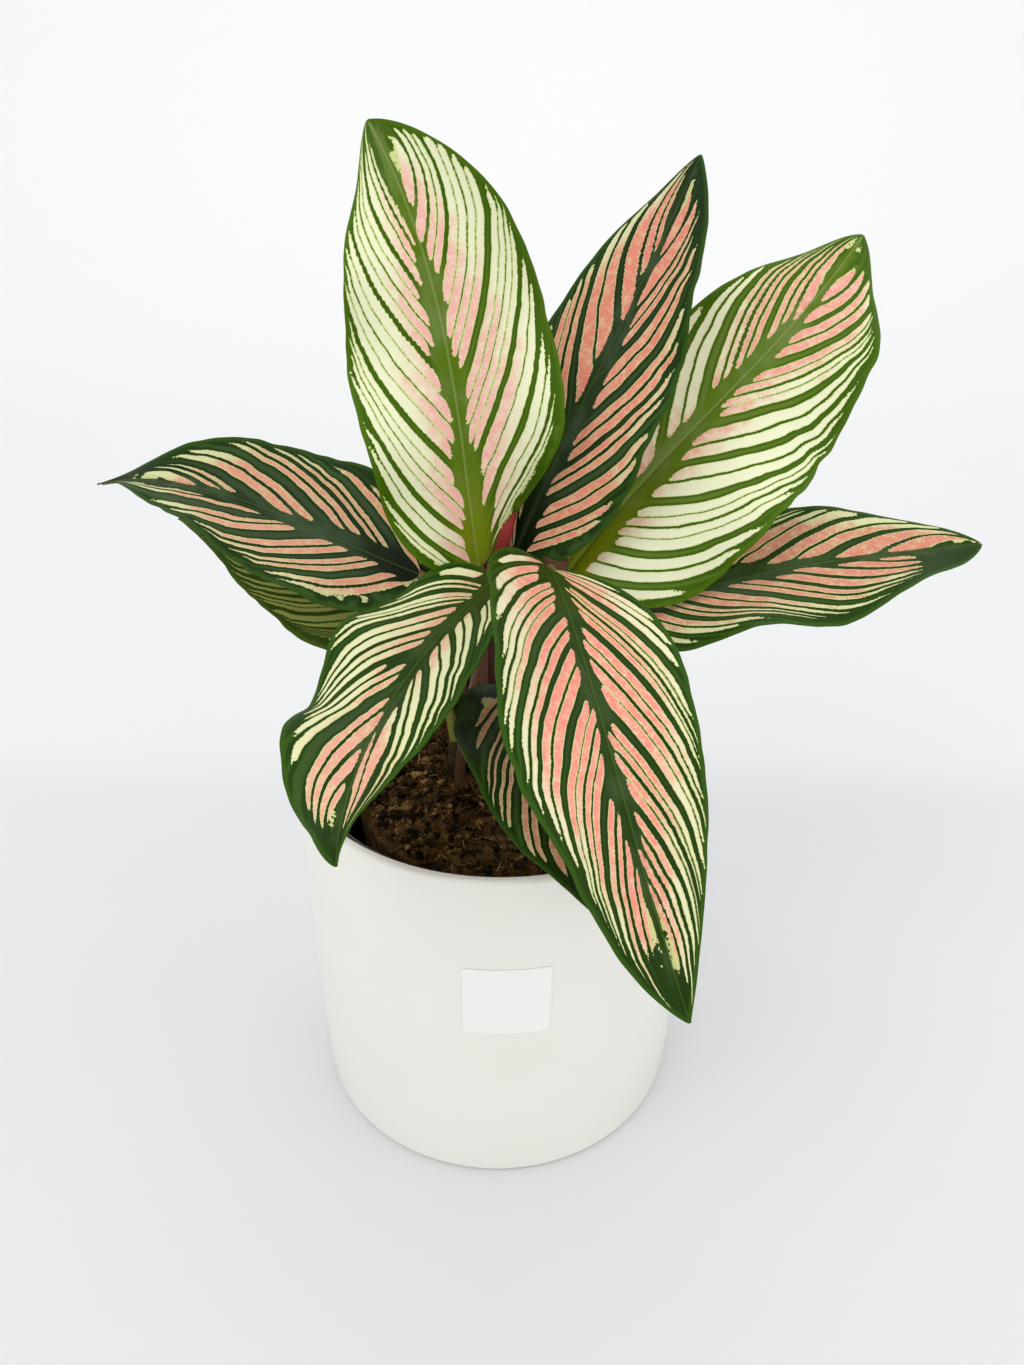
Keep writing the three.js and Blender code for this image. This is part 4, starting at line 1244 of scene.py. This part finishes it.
@dataclass
class CoverPot:
    """The glazed cover pot, its blank label and the black grower's pot inside it.

    grower_rings are the radius and height of the grower's pot's rings, up its outside, over its
    lip and down to below the lip on its inside.
    """

    height: float = 125.5
    top_radius: float = 66.0
    foot_radius: float = 62.8
    wall: float = 3.3
    floor: float = 5.0
    cove: float = 4.0
    rim_round: float = 1.5
    foot_round: float = 3.0
    foot_ring: float = 5.0
    foot_recess: float = 0.6
    rings: Point = (30.0, 60.0, 90.0)
    segments: int = 192
    grower_rings: tuple[Pair, ...] = (
        (57.6, 114.0), (59.4, 115.0), (59.8, 120.6), (59.5, 121.0),
        (58.8, 121.0), (58.6, 120.6), (58.2, 116.0), (56.4, 115.0))
    grower_foot: float = 45.0
    grower_wall: float = 1.0
    grower_floor: float = 1.8
    grower_gap: float = 0.35
    grower_segments: int = 128
    label_size: float = 26.0
    label_corner: float = 1.0
    label_middle: float = 80.0
    label_heading: float = 273.0
    label_gap: float = 0.12
    label_thickness: float = 0.15
    label_strips: int = 24

    def side(self, height: float) -> float:
        """The outer wall's radius at a height."""
        return self.foot_radius + (self.top_radius - self.foot_radius) * height / self.height

    def build(self) -> list[Piece]:
        """Build and dress the three pieces."""
        return [self.shell(), self.growers_pot(), self.label()]

    def shell(self) -> Piece:
        """The thick-walled round pot, with a soft rim and foot."""
        rim, foot, wall = self.rim_round, self.foot_round, self.wall
        low = self.height - rim
        outer = self.side(low)
        stand = self.foot_radius - foot - self.foot_ring
        deep = self.floor + self.cove
        profile = [
            (stand - 1.0, self.foot_recess), (stand, 0.0),
            *rounded((self.side(foot) - foot, foot), -88, -2, foot),
            *((self.side(h), h) for h in self.rings),
            *rounded((outer - rim, low), 2, 88, rim),
            *rounded((outer - wall + rim, low), 92, 178, rim),
            *((self.side(h) - wall, h) for h in reversed(self.rings)),
            (self.side(deep) - wall, deep),
            (self.side(self.floor) - wall - self.cove, self.floor),
        ]
        piece = turned("cover_pot_shell", profile, self.segments)
        dress(piece, GlazeFinish().make())
        return keep(piece, "glaze", "cover_pot")

    def growers_pot(self) -> Piece:
        """The tapered black pot with its outward lip."""
        bottom = self.floor + self.grower_gap
        inside = (self.grower_foot - self.grower_wall, bottom + self.grower_floor)
        profile = [(self.grower_foot, bottom), *self.grower_rings, inside]
        piece = turned("growers_pot_wall", profile, self.grower_segments)
        dress(piece, PlasticFinish().make())
        return keep(piece, "black_plastic", "growers_pot")

    def label(self) -> Piece:
        """The blank square label, with slightly rounded corners, bent round the wall."""
        lone_selection()
        bpy.ops.mesh.primitive_plane_add(size=self.label_size, location=(0, 0, 0))
        piece = named("label_blank")
        open_mesh(piece)
        bpy.ops.mesh.bevel(offset=self.label_corner, segments=4, affect="VERTICES")
        for step in range(1, self.label_strips):
            at = self.label_size * (step / self.label_strips - 0.5)
            bpy.ops.mesh.select_all(action="SELECT")
            bpy.ops.mesh.bisect(plane_co=(at, 0, 0), plane_no=(1, 0, 0))
        bpy.ops.object.mode_set(mode="OBJECT")
        for vertex in piece.data.vertices:
            x, y, _ = vertex.co
            height = self.label_middle + y
            radius = self.side(height) + self.label_gap
            angle = math.radians(self.label_heading) + x / self.side(self.label_middle)
            vertex.co = Vector((radius * math.cos(angle), radius * math.sin(angle), height)) * MM
        apply_modifier(piece, "SOLIDIFY", thickness=self.label_thickness * MM, offset=1.0)
        weld(piece)
        smooth(piece, 30.0)
        dress(piece, PaperFinish().make())
        return keep(piece, "label", "blank_label")


@dataclass(frozen=True)
class SoilFinish:
    """Moist bark and coir, from near black to tan."""

    dark: Colour = rgb(20, 14, 8)
    brown: Colour = rgb(94, 68, 36)
    tan: Colour = rgb(160, 128, 76)

    def make(self, name: str, by_piece: bool) -> Material:
        """The soil's material.

        Args:
            name: The material's name.
            by_piece: Whether each crumb's own tone sets its colour.

        Returns:
            The material.
        """
        board = Board(name)
        tone = board.trait("tone") if by_piece else board.noise(320.0, 4.0, 0.6)
        cloud = board.noise(900.0, 4.0, 0.6) * 0.5 + tone + (board.noise(130.0, 3.0) - 0.5) * 1.1
        colour = board.layers(
            self.dark, (cloud.ease(0.35, 0.8), self.brown), (cloud.ease(0.85, 1.3), self.tan))
        board.bump(board.noise(2200.0, 5.0, 0.65), 0.8, 0.0006)
        return board.finish(colour, 0.9, Specular_IOR_Level=0.12)


@dataclass
class SoilBed:
    """The potting mix: a lumpy bed with crumbs, bark chips and fibres on it.

    The bed stands back from the pot's wall by gap towards gap_heading, and sinks by dip_left or
    dip_right from dip_start on. Pairs are the limits between which sizes are drawn.
    """

    level: float = 112.0
    radius: float = 56.2
    lump: float = 1.5
    clod: float = 1.3
    mound: float = 2.2
    mound_spread: float = 22.0
    grid: int = 150
    gap: float = 10.0
    gap_heading: float = 205.0
    dip_start: float = 47.0
    dip_width: float = 8.0
    dip_left: float = 3.2
    dip_right: float = 2.0
    dip_split: float = -10.0
    bottom: float = 8.0
    bottom_radius: float = 43.5
    crumbs: int = 4200
    crumb_size: Pair = (0.3, 1.0)
    fibre_share: float = 0.2
    fibre_length: Pair = (1.5, 3.6)
    fibre_thickness: float = 0.22
    chips: int = 520
    chip_size: Pair = (1.0, 2.3)
    flat_share: float = 0.33
    flat_thickness: Pair = (0.2, 0.35)
    clod_thickness: Pair = (0.55, 0.85)
    wall_room: float = 2.4
    bend: float = 0.9
    spin: float = 6.28
    tilt: float = 0.5
    seed: int = 41

    def height(self, x: float, y: float) -> float:
        """Height of the lumpy soil surface at a place."""
        across = math.sin(0.34 * x + 1.7 * math.sin(0.21 * y))
        coarse = across * math.cos(0.29 * y - 0.9 * math.sin(0.17 * x))
        middling = math.sin(0.71 * x + 0.43 * y + 1.1) * math.sin(0.52 * y - 0.66 * x + 0.4)
        fine = math.sin(1.37 * x - 0.8 * y) * math.cos(1.21 * y + 0.5 * x)
        mound = self.mound * math.exp(-((math.hypot(x, y) / self.mound_spread) ** 2))
        return self.level + mound + self.lump * (coarse + 0.8 * middling + 0.6 * fine)

    def reach(self, x: float, y: float) -> float:
        """The bed's radius towards a place."""
        turn = math.cos(math.atan2(y, x) - math.radians(self.gap_heading))
        return self.radius - self.gap * max(turn, 0.0) ** 2

    def dip(self, x: float, y: float) -> float:
        """How far the mix has sunk close to the pot's wall."""
        edge = min(max((math.hypot(x, y) - self.dip_start) / self.dip_width, 0.0), 1.0)
        return edge * edge * (self.dip_left if x < self.dip_split else self.dip_right)

    def build(self) -> list[Piece]:
        """Build and dress the bed and what lies on it."""
        return [
            self.bed(), self.scatter("soil_crumbs", 1, self.crumbs, self.crumb),
            self.scatter("soil_litter", 2, self.chips, self.chip),
        ]

    def bed(self) -> Piece:
        """A round grid raised into lumps, drawn down to the bottom of the root ball."""
        piece = grid("soil_bed", self.grid, self.grid, 2.0)
        for vertex in piece.data.vertices:
            x, y, _ = vertex.co
            reach = self.reach(x, y)
            round_x = x * math.sqrt(max(0.0, 1.0 - y * y / 2.0)) * reach
            round_y = y * math.sqrt(max(0.0, 1.0 - x * x / 2.0)) * reach
            clods = noise.fractal(Vector((round_x, round_y, 3.0)) * 0.22, 0.9, 2.1, 5)
            height = self.height(round_x, round_y) - 1.0 + self.clod * clods
            vertex.co = Vector((round_x, round_y, height - self.dip(round_x, round_y))) * MM
        open_mesh(piece)
        bpy.ops.mesh.region_to_loop()
        drop = (self.bottom - self.level + 4.0) * MM
        bpy.ops.mesh.extrude_region_move(TRANSFORM_OT_translate={"value": (0, 0, drop)})
        share = self.bottom_radius / self.radius
        bpy.ops.transform.resize(
            value=(share, share, 0.0), center_override=(0, 0, self.bottom * MM))
        bpy.ops.mesh.edge_face_add()
        close_mesh()
        smooth(piece, 60.0)
        dress(piece, SoilFinish().make("soil_bed", by_piece=False))
        return keep(piece, "soil", "soil")

    def spot(self, draw: random.Random) -> Vector:
        """A random place on the bed, with how high a crumb sits there."""
        distance = math.sqrt(draw.random())
        angle = draw.uniform(0.0, math.tau)
        distance *= self.reach(math.cos(angle), math.sin(angle)) - self.wall_room
        x, y = distance * math.cos(angle), distance * math.sin(angle)
        return Vector((x, y, self.height(x, y) - 0.3 + draw.uniform(0.0, 0.9) - self.dip(x, y)))

    def scatter(
        self, name: str, rounds: int, count: int,
        shapes: Callable[[random.Random], tuple[Point, float]],
    ) -> Piece:
        """Lay many bent and turned copies of a ball on the bed, as one mesh.

        Args:
            name: The piece's name.
            rounds: How finely the ball is divided.
            count: How many copies there are.
            shapes: Gives a copy's three half sizes and its tone, from the source of chance.

        Returns:
            The piece.
        """
        lone_selection()
        bpy.ops.mesh.primitive_ico_sphere_add(
            subdivisions=rounds, radius=1.0, location=(0, 0, 0))
        piece = named(name)
        ball = [vertex.co.copy() for vertex in piece.data.vertices]
        faces = np.array([list(face.vertices) for face in piece.data.polygons])
        draw = random.Random(self.seed + rounds)
        spots, corners, tones = [], [], []
        for number in range(count):
            middle = self.spot(draw)
            shape, tone = shapes(draw)
            turn = Matrix.Rotation(draw.uniform(0.0, self.spin), 3, "Z")
            turn = turn @ Matrix.Rotation(draw.gauss(0.0, self.tilt), 3, "X")
            aside = Vector((number * 1.7, 3.1, 7.7))
            for point in ball:
                bent = point * (1.0 + self.bend * noise.noise(point * 1.7 + aside))
                spots.append((turn @ (bent * Vector(shape)) + middle) * MM)
            corners.append(faces + number * len(ball))
            tones += [tone] * len(ball)
        mesh = bpy.data.meshes.new(name)
        mesh.from_pydata(spots, [], np.concatenate(corners).tolist())
        piece.data = mesh
        mark(piece, "tone", tones)
        smooth(piece, 35.0)
        dress(piece, SoilFinish().make(name, by_piece=True))
        return keep(piece, "soil")

    def crumb(self, draw: random.Random) -> tuple[Point, float]:
        """The half sizes and the tone of a crumb, or at times of a fibre."""
        size = draw.uniform(*self.crumb_size)
        if draw.random() < self.fibre_share:
            thick = self.fibre_thickness
            return (draw.uniform(*self.fibre_length), thick, thick), draw.uniform(0.3, 1.0)
        shape = (size, size * draw.uniform(0.6, 1.0), size * draw.uniform(0.5, 0.9))
        return shape, draw.uniform(0.0, 0.9)

    def chip(self, draw: random.Random) -> tuple[Point, float]:
        """The half sizes and the tone of a clod, or at times of a flat chip."""
        size = draw.uniform(*self.chip_size)
        flat = draw.random() < self.flat_share
        thick = draw.uniform(*(self.flat_thickness if flat else self.clod_thickness))
        shape = (size, size * draw.uniform(0.5, 0.9), size * thick)
        return shape, draw.uniform(0.1, 1.0 if flat else 0.7)


@dataclass(frozen=True)
class StalkFinish:
    """A smooth stalk that changes colour from its foot to its knee."""

    # The dark foot is partly the stalk's own brown and partly painted shade near the soil.
    foot: Colour = rgb(74, 58, 34)
    middle: Colour = rgb(122, 80, 60)
    knee: Colour = rgb(124, 110, 62)
    fibre: Colour = rgb(78, 58, 36)

    def make(self, name: str) -> Material:
        """The stalk's material, by the distance along it."""
        board = Board(name)
        along = board.trait("along")
        fibre = board.noise(2400.0, stretch=(1.0, 1.0, 0.08))
        board.bump(fibre, 0.3, 0.0002)
        colour = board.layers(
            self.foot, (along.ease(0.0, 0.45), self.middle),
            (along.ease(0.82, 0.95), self.knee), (fibre * 0.35, self.fibre))
        return board.finish(colour, 0.42, Specular_IOR_Level=0.45)


@dataclass(frozen=True)
class YoungFinish:
    """The wine-red outside of the rolled young leaf, greenish where its edge shows."""

    wine: Colour = rgb(118, 40, 44)
    pale: Colour = rgb(160, 62, 56)
    edge: Colour = rgb(110, 84, 40)

    def make(self) -> Material:
        """The young leaf's material, with fine lengthwise fibres."""
        board = Board("young_leaf")
        fibre = board.noise(1500.0, stretch=(1.0, 1.0, 0.12))
        board.bump(fibre, 0.3, 0.0003)
        edge = board.trait("tone").ease(0.55, 0.95)
        colour = board.layers(self.wine, (fibre, self.pale), (edge, self.edge))
        return board.finish(colour, 0.45, Specular_IOR_Level=0.45)


class Stalks:
    """The stalks of the open leaves, and the young leaf on its own stalk."""

    DEPTH = 8.0
    SOIL_LEVEL = 112.0
    FOOT_RADIUS = 2.0
    FOOT_SPREAD = 22.0
    RADIUS = 1.25
    KNEE_RADIUS = 1.6
    KNEE_LENGTH = 9.0
    UPRIGHT_SHARE = 0.45
    STEPS = 40
    GAP = 0.1
    GREEN_LEAF = "left_under"
    YOUNG_FOOT = (-3.0, 9.0)
    YOUNG_BASE = np.array((-0.6, 14.6, 180.0))
    YOUNG_TIP = np.array((-3.0, 25.0, 254.0))
    YOUNG_REACH = 9.0
    YOUNG_RADIUS = 3.85
    YOUNG_TURNS = 1.9
    YOUNG_COLUMNS = 72
    YOUNG_ROWS = 60
    YOUNG_THICKNESS = 0.3

    def __init__(self, leaves: tuple[Leaf, ...]) -> None:
        """Take the leaves, and make the stalks' finishes."""
        self.leaves = leaves
        self.pink = StalkFinish().make("stalk_pink")
        self.green = StalkFinish(
            rgb(120, 124, 44), rgb(150, 152, 60), rgb(140, 140, 66)).make("stalk_green")

    def build(self) -> list[Piece]:
        """Build and dress every stalk, and the young leaf."""
        start = np.array(0.0)
        made = [
            self.stalk(leaf.name, leaf.foot, np.array(leaf.base), leaf.direction(start), leaf.reach)
            for leaf in self.leaves]
        ahead = self.YOUNG_TIP - self.YOUNG_BASE
        ahead = ahead / np.linalg.norm(ahead)
        base = self.YOUNG_BASE
        made.append(self.stalk("young", self.YOUNG_FOOT, base, ahead, self.YOUNG_REACH))
        made.append(self.young_leaf(ahead))
        return made

    def stalk(
        self, leaf: str, foot: Pair, end: Array, ahead: Array, reach: float,
    ) -> Piece:
        """One stalk, from under the soil to the base of what it carries.

        Args:
            leaf: The name of the leaf that it carries.
            foot: Where it leaves the soil.
            end: Where its leaf starts.
            ahead: The direction in which it ends.
            reach: How far before its end it takes that direction.

        Returns:
            The stalk.
        """
        low = np.array((*foot, self.SOIL_LEVEL))
        top = end - ahead * self.GAP
        rise = np.array((0.0, 0.0, (top[2] - low[2]) * self.UPRIGHT_SHARE))
        bends = (low, low + rise, top - ahead * reach, top)
        t = np.linspace(0.0, 1.0, self.STEPS)[:, None]
        path = ((1 - t) ** 3 * bends[0] + 3 * (1 - t) ** 2 * t * bends[1]
                + 3 * (1 - t) * t ** 2 * bends[2] + t ** 3 * bends[3])
        path = np.vstack([low - np.array((0.0, 0.0, self.DEPTH)), path])
        steps = np.linalg.norm(np.diff(path, axis=0), axis=1)
        walked = np.concatenate([[0.0], np.cumsum(steps)])
        from_soil = np.maximum(walked - self.DEPTH, 0.0)
        from_top = walked[-1] - walked
        foot_extra = (self.FOOT_RADIUS - self.RADIUS) * np.exp(-from_soil / self.FOOT_SPREAD)
        knee_extra = np.exp(-((from_top / self.KNEE_LENGTH) ** 2))
        radii = self.RADIUS + foot_extra + (self.KNEE_RADIUS - self.RADIUS) * knee_extra
        piece = tube(f"stem_{leaf}", path, radii, sides=5)
        heights = np.array([vertex.co.z for vertex in piece.data.vertices]) / MM
        mark(piece, "along", np.interp(heights, path[:, 2], walked / walked[-1]))
        smooth(piece)
        green = leaf == self.GREEN_LEAF
        dress(piece, self.green if green else self.pink)
        return keep(piece, "stalk_green" if green else "stalk_pink", f"stalk_{leaf}")

    def young_leaf(self, ahead: Array) -> Piece:
        """The young leaf, a thin sheet rolled lengthwise into a slim spindle.

        Args:
            ahead: The direction that it points in.

        Returns:
            The rolled leaf.
        """
        piece = grid("young_roll", self.YOUNG_COLUMNS, self.YOUNG_ROWS)
        across = np.cross((1.0, 0.0, 0.0), ahead)
        across /= np.linalg.norm(across)
        other = np.cross(ahead, across)
        length = np.linalg.norm(self.YOUNG_TIP - self.YOUNG_BASE)
        turns = []
        for vertex in piece.data.vertices:
            turn, u = vertex.co.x + 0.5, vertex.co.y + 0.5
            belly = math.sin(math.pi * u ** 0.75) ** 0.8 if u < 1.0 else 0.0
            radius = self.YOUNG_RADIUS * math.hypot(belly, 0.3 * (1.0 - u) + 0.1)
            radius *= 0.62 + 0.38 * turn
            angle = math.tau * self.YOUNG_TURNS * turn + 1.2 * u - 1.3
            point = self.YOUNG_BASE + ahead * length * (0.004 + 0.99 * u)
            point = point + across * radius * math.cos(angle) + other * radius * math.sin(angle)
            vertex.co = Vector(point) * MM
            turns.append(turn)
        mark(piece, "tone", turns)
        apply_modifier(piece, "SOLIDIFY", thickness=self.YOUNG_THICKNESS * MM, offset=0.0)
        weld(piece, 1e-7)
        smooth(piece)
        dress(piece, YoungFinish().make())
        return keep(piece, "leaf_young", "leaf_young")


@dataclass(frozen=True)
class Sheath:
    """A sheath clasping the foot of a stalk or of the young leaf, in millimetres."""

    name: str
    slot: str
    path: tuple[Point, ...]
    radii: tuple[float, ...]
    fresh: Colour
    dry: Colour


SHEATHS = (
    Sheath("sheath_young", "stalk_pink",
           ((-3, 9, 110), (-3.4, 9.4, 130), (-3.6, 9.6, 152), (-3, 11, 172)),
           (3.2, 4.4, 4.2, 1.6), rgb(84, 52, 36), rgb(48, 34, 22)),
    Sheath("sheath_wine", "leaf_young",
           ((-6.0, 12, 168), (-4.6, 12.6, 184), (-1.2, 14, 195), (2.2, 15.2, 203)),
           (1.8, 4.6, 4.6, 2.4), rgb(150, 48, 42), rgb(66, 26, 22)),
    Sheath("sheath_right", "stalk_pink",
           ((11, 8, 112), (11.6, 8, 140), (14.2, 8.6, 168), (16.4, 9.4, 188)),
           (2.8, 3.6, 4.4, 3.8), rgb(96, 66, 44), rgb(40, 30, 20)),
    Sheath("sheath_left", "stalk_green",
           ((-14, 3, 110), (-14.1, 3, 119), (-14.5, 3.1, 126.5)),
           (3.2, 3.0, 1.9), rgb(70, 56, 28), rgb(38, 28, 18)),
    Sheath("sheath_crown", "stalk_green",
           ((-11, 8, 112), (-12, 9, 140), (-17, 9.6, 170), (-22.6, 9.6, 187.5)),
           (2.6, 3.4, 4.4, 4.2), rgb(40, 48, 16), rgb(34, 30, 16)),
)


class Sheaths:
    """The sheaths between the stalks, each a ribbed sleeve."""

    STEPS = 28
    SOFTENINGS = 6
    RIBS = 7.0
    RIB_HEIGHT = 0.07
    CRUMPLE = 0.12

    def __init__(self, sheaths: tuple[Sheath, ...]) -> None:
        """Take the sheaths' sizes."""
        self.sheaths = sheaths

    def build(self) -> list[Piece]:
        """Build and dress every sheath."""
        return [self.sleeve(sheath) for sheath in self.sheaths]

    def sleeve(self, sheath: Sheath) -> Piece:
        """One sheath, its round pinched into ribs and crumpled.

        Args:
            sheath: The sheath.

        Returns:
            The finished sheath.
        """
        path = np.array(sheath.path, dtype=float)
        stations = np.linspace(0.0, 1.0, len(path))
        places = np.linspace(0.0, 1.0, self.STEPS)
        centres = np.stack([np.interp(places, stations, path[:, axis]) for axis in range(3)], -1)
        for _ in range(self.SOFTENINGS):
            centres[1:-1] = (centres[:-2] + centres[1:-1] * 2.0 + centres[2:]) / 4.0
        piece = tube(sheath.name, centres, np.interp(places, stations, sheath.radii), sides=9)
        along = []
        for vertex in piece.data.vertices:
            spot = np.array(vertex.co) / MM
            nearest = int(np.argmin(np.linalg.norm(centres - spot, axis=1)))
            axis = Vector(centres[nearest]) * MM
            outward = vertex.co - axis
            rib = self.RIB_HEIGHT * math.sin(self.RIBS * math.atan2(outward.y, outward.x))
            crumple = self.CRUMPLE * noise.noise(Vector(spot) * 0.3)
            vertex.co = axis + outward * (1.0 + rib + crumple)
            along.append(nearest / (self.STEPS - 1))
        mark(piece, "along", along)
        smooth(piece, 60.0)
        dress(piece, self.finish(sheath))
        return keep(piece, sheath.slot)

    def finish(self, sheath: Sheath) -> Material:
        """A sheath's fibrous skin, drier towards its foot."""
        board = Board(f"skin_{sheath.name}")
        fibre = board.noise(1300.0, 3.0, stretch=(1.0, 1.0, 0.1))
        ageing = fibre * 0.5 + board.trait("along")
        board.bump(fibre, 0.5, 0.0004)
        colour = board.mix(ageing.ease(0.35, 1.0), sheath.dry, sheath.fresh)
        return board.finish(colour, 0.55, Specular_IOR_Level=0.25)


@dataclass(frozen=True)
class Lamp:
    """A square soft lamp: its place and width in metres, its power in watts."""

    name: str
    place: Point
    size: float
    power: float


@dataclass
class Studio:
    """The pale floor, the soft lights and the camera.

    The camera stands at place, in millimetres. The floor is in metres: it starts at floor_start
    in front, is level up to floor_level, and then bends up by the radius floor_bend.
    """

    focal_pixels: float = 1025.0
    film: float = 36.0
    place: Point = (3.6, -279.0, 306.0)
    pitch: float = 29.2
    roll: float = 0.8
    sight: Pair = (0.01, 20.0)
    floor_width: float = 8.0
    floor_start: float = -2.5
    floor_length: float = 5.5
    floor_level: float = 0.9
    floor_bend: float = 0.6
    # The floor is darker in front and lighter towards the back and up the curve: painted light, for
    # the light's fall-off.
    near: tuple[Colour, Colour] = (rgb(225, 226, 228), rgb(228, 229, 232))
    far: tuple[Colour, Colour] = (rgb(234, 235, 236), rgb(255, 255, 255))
    surround: float = 0.84
    aim: Point = (0.0, 0.0, 0.15)
    lamps: tuple[Lamp, ...] = (
        Lamp("key", (-0.7, -0.9, 1.6), 1.0, 6.5),
        Lamp("fill", (1.2, -0.6, 1.1), 1.2, 2.9),
        Lamp("top", (0.1, 0.5, 1.6), 1.2, 3.0))

    def build(self) -> None:
        """Set up everything that isn't part of the plant."""
        bpy.context.scene.view_settings.view_transform = "Standard"
        self.camera()
        self.backdrop()
        self.lights()

    def camera(self) -> None:
        """The camera at the photograph's angle."""
        lone_selection()
        bpy.ops.object.camera_add()
        camera = named("camera")
        pitch, roll = math.radians(self.pitch), math.radians(self.roll)
        forward = Vector((0.0, math.cos(pitch), -math.sin(pitch)))
        level = Vector((1.0, 0.0, 0.0))
        upright = level.cross(forward)
        right = level * math.cos(roll) + upright * math.sin(roll)
        up = upright * math.cos(roll) - level * math.sin(roll)
        turn = Matrix((right, up, -forward)).transposed().to_4x4()
        camera.matrix_world = Matrix.Translation(Vector(self.place) * MM) @ turn
        camera.data.sensor_fit = "VERTICAL"
        camera.data.sensor_height = self.film
        camera.data.lens = self.film * self.focal_pixels / IMAGE_HEIGHT
        camera.data.clip_start, camera.data.clip_end = self.sight
        bpy.context.scene.camera = camera

    def backdrop(self) -> None:
        """A pale floor that rises in a soft curve behind the plant."""
        floor = grid("backdrop", 4, 80)
        level, radius = self.floor_level, self.floor_bend
        for vertex in floor.data.vertices:
            run = self.floor_start + self.floor_length * (vertex.co.y + 0.5)
            bend = max(0.0, run - level)
            angle = min(bend / radius, math.pi / 2)
            y = min(run, level) + radius * math.sin(angle)
            z = radius * (1.0 - math.cos(angle)) + max(0.0, bend - radius * math.pi / 2)
            vertex.co = (vertex.co.x * self.floor_width, y, z)
        smooth(floor, 60.0)
        board = Board("backdrop")
        _, back, _ = board.parts(board.place)
        # Painted light: a mottled darker floor in front, lighter behind the pot, brightest up the
        # curve.
        near = board.mix(board.noise(2.0), *self.near)
        far = board.mix(back.ease(0.2, 2.0), *self.far)
        colour = board.mix(back.ease(0.14, 0.2), near, far)
        dress(floor, board.finish(colour, 0.7, Specular_IOR_Level=0.2))

    def lights(self) -> None:
        """A bright even surround, with soft lamps above in front, at the side and behind."""
        world = bpy.data.worlds.new("surround")
        bpy.context.scene.world = world
        world.use_nodes = True
        shade = world.node_tree.nodes["Background"]
        shade.inputs["Color"].default_value = (1.0, 1.0, 1.0, 1.0)
        shade.inputs["Strength"].default_value = self.surround
        for lamp in self.lamps:
            lone_selection()
            bpy.ops.object.light_add(type="AREA", location=lamp.place)
            light = named(lamp.name)
            light.data.size = lamp.size
            light.data.energy = lamp.power
            aim = Vector(self.aim) - Vector(lamp.place)
            light.rotation_euler = aim.to_track_quat("-Z", "Y").to_euler()


def main() -> None:
    """Build the plant and its studio, and report each piece."""
    logging.basicConfig(level=logging.INFO, format="%(name)s: %(message)s")
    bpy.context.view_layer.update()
    studio = Studio()
    studio.build()
    for maker in (CoverPot(), SoilBed(), Stalks(LEAVES), Sheaths(SHEATHS), Foliage(LEAVES)):
        for piece in maker.build():
            LOG.info("%s: %d faces", piece.name, len(piece.data.polygons))


if __name__ == "__main__":
    main()
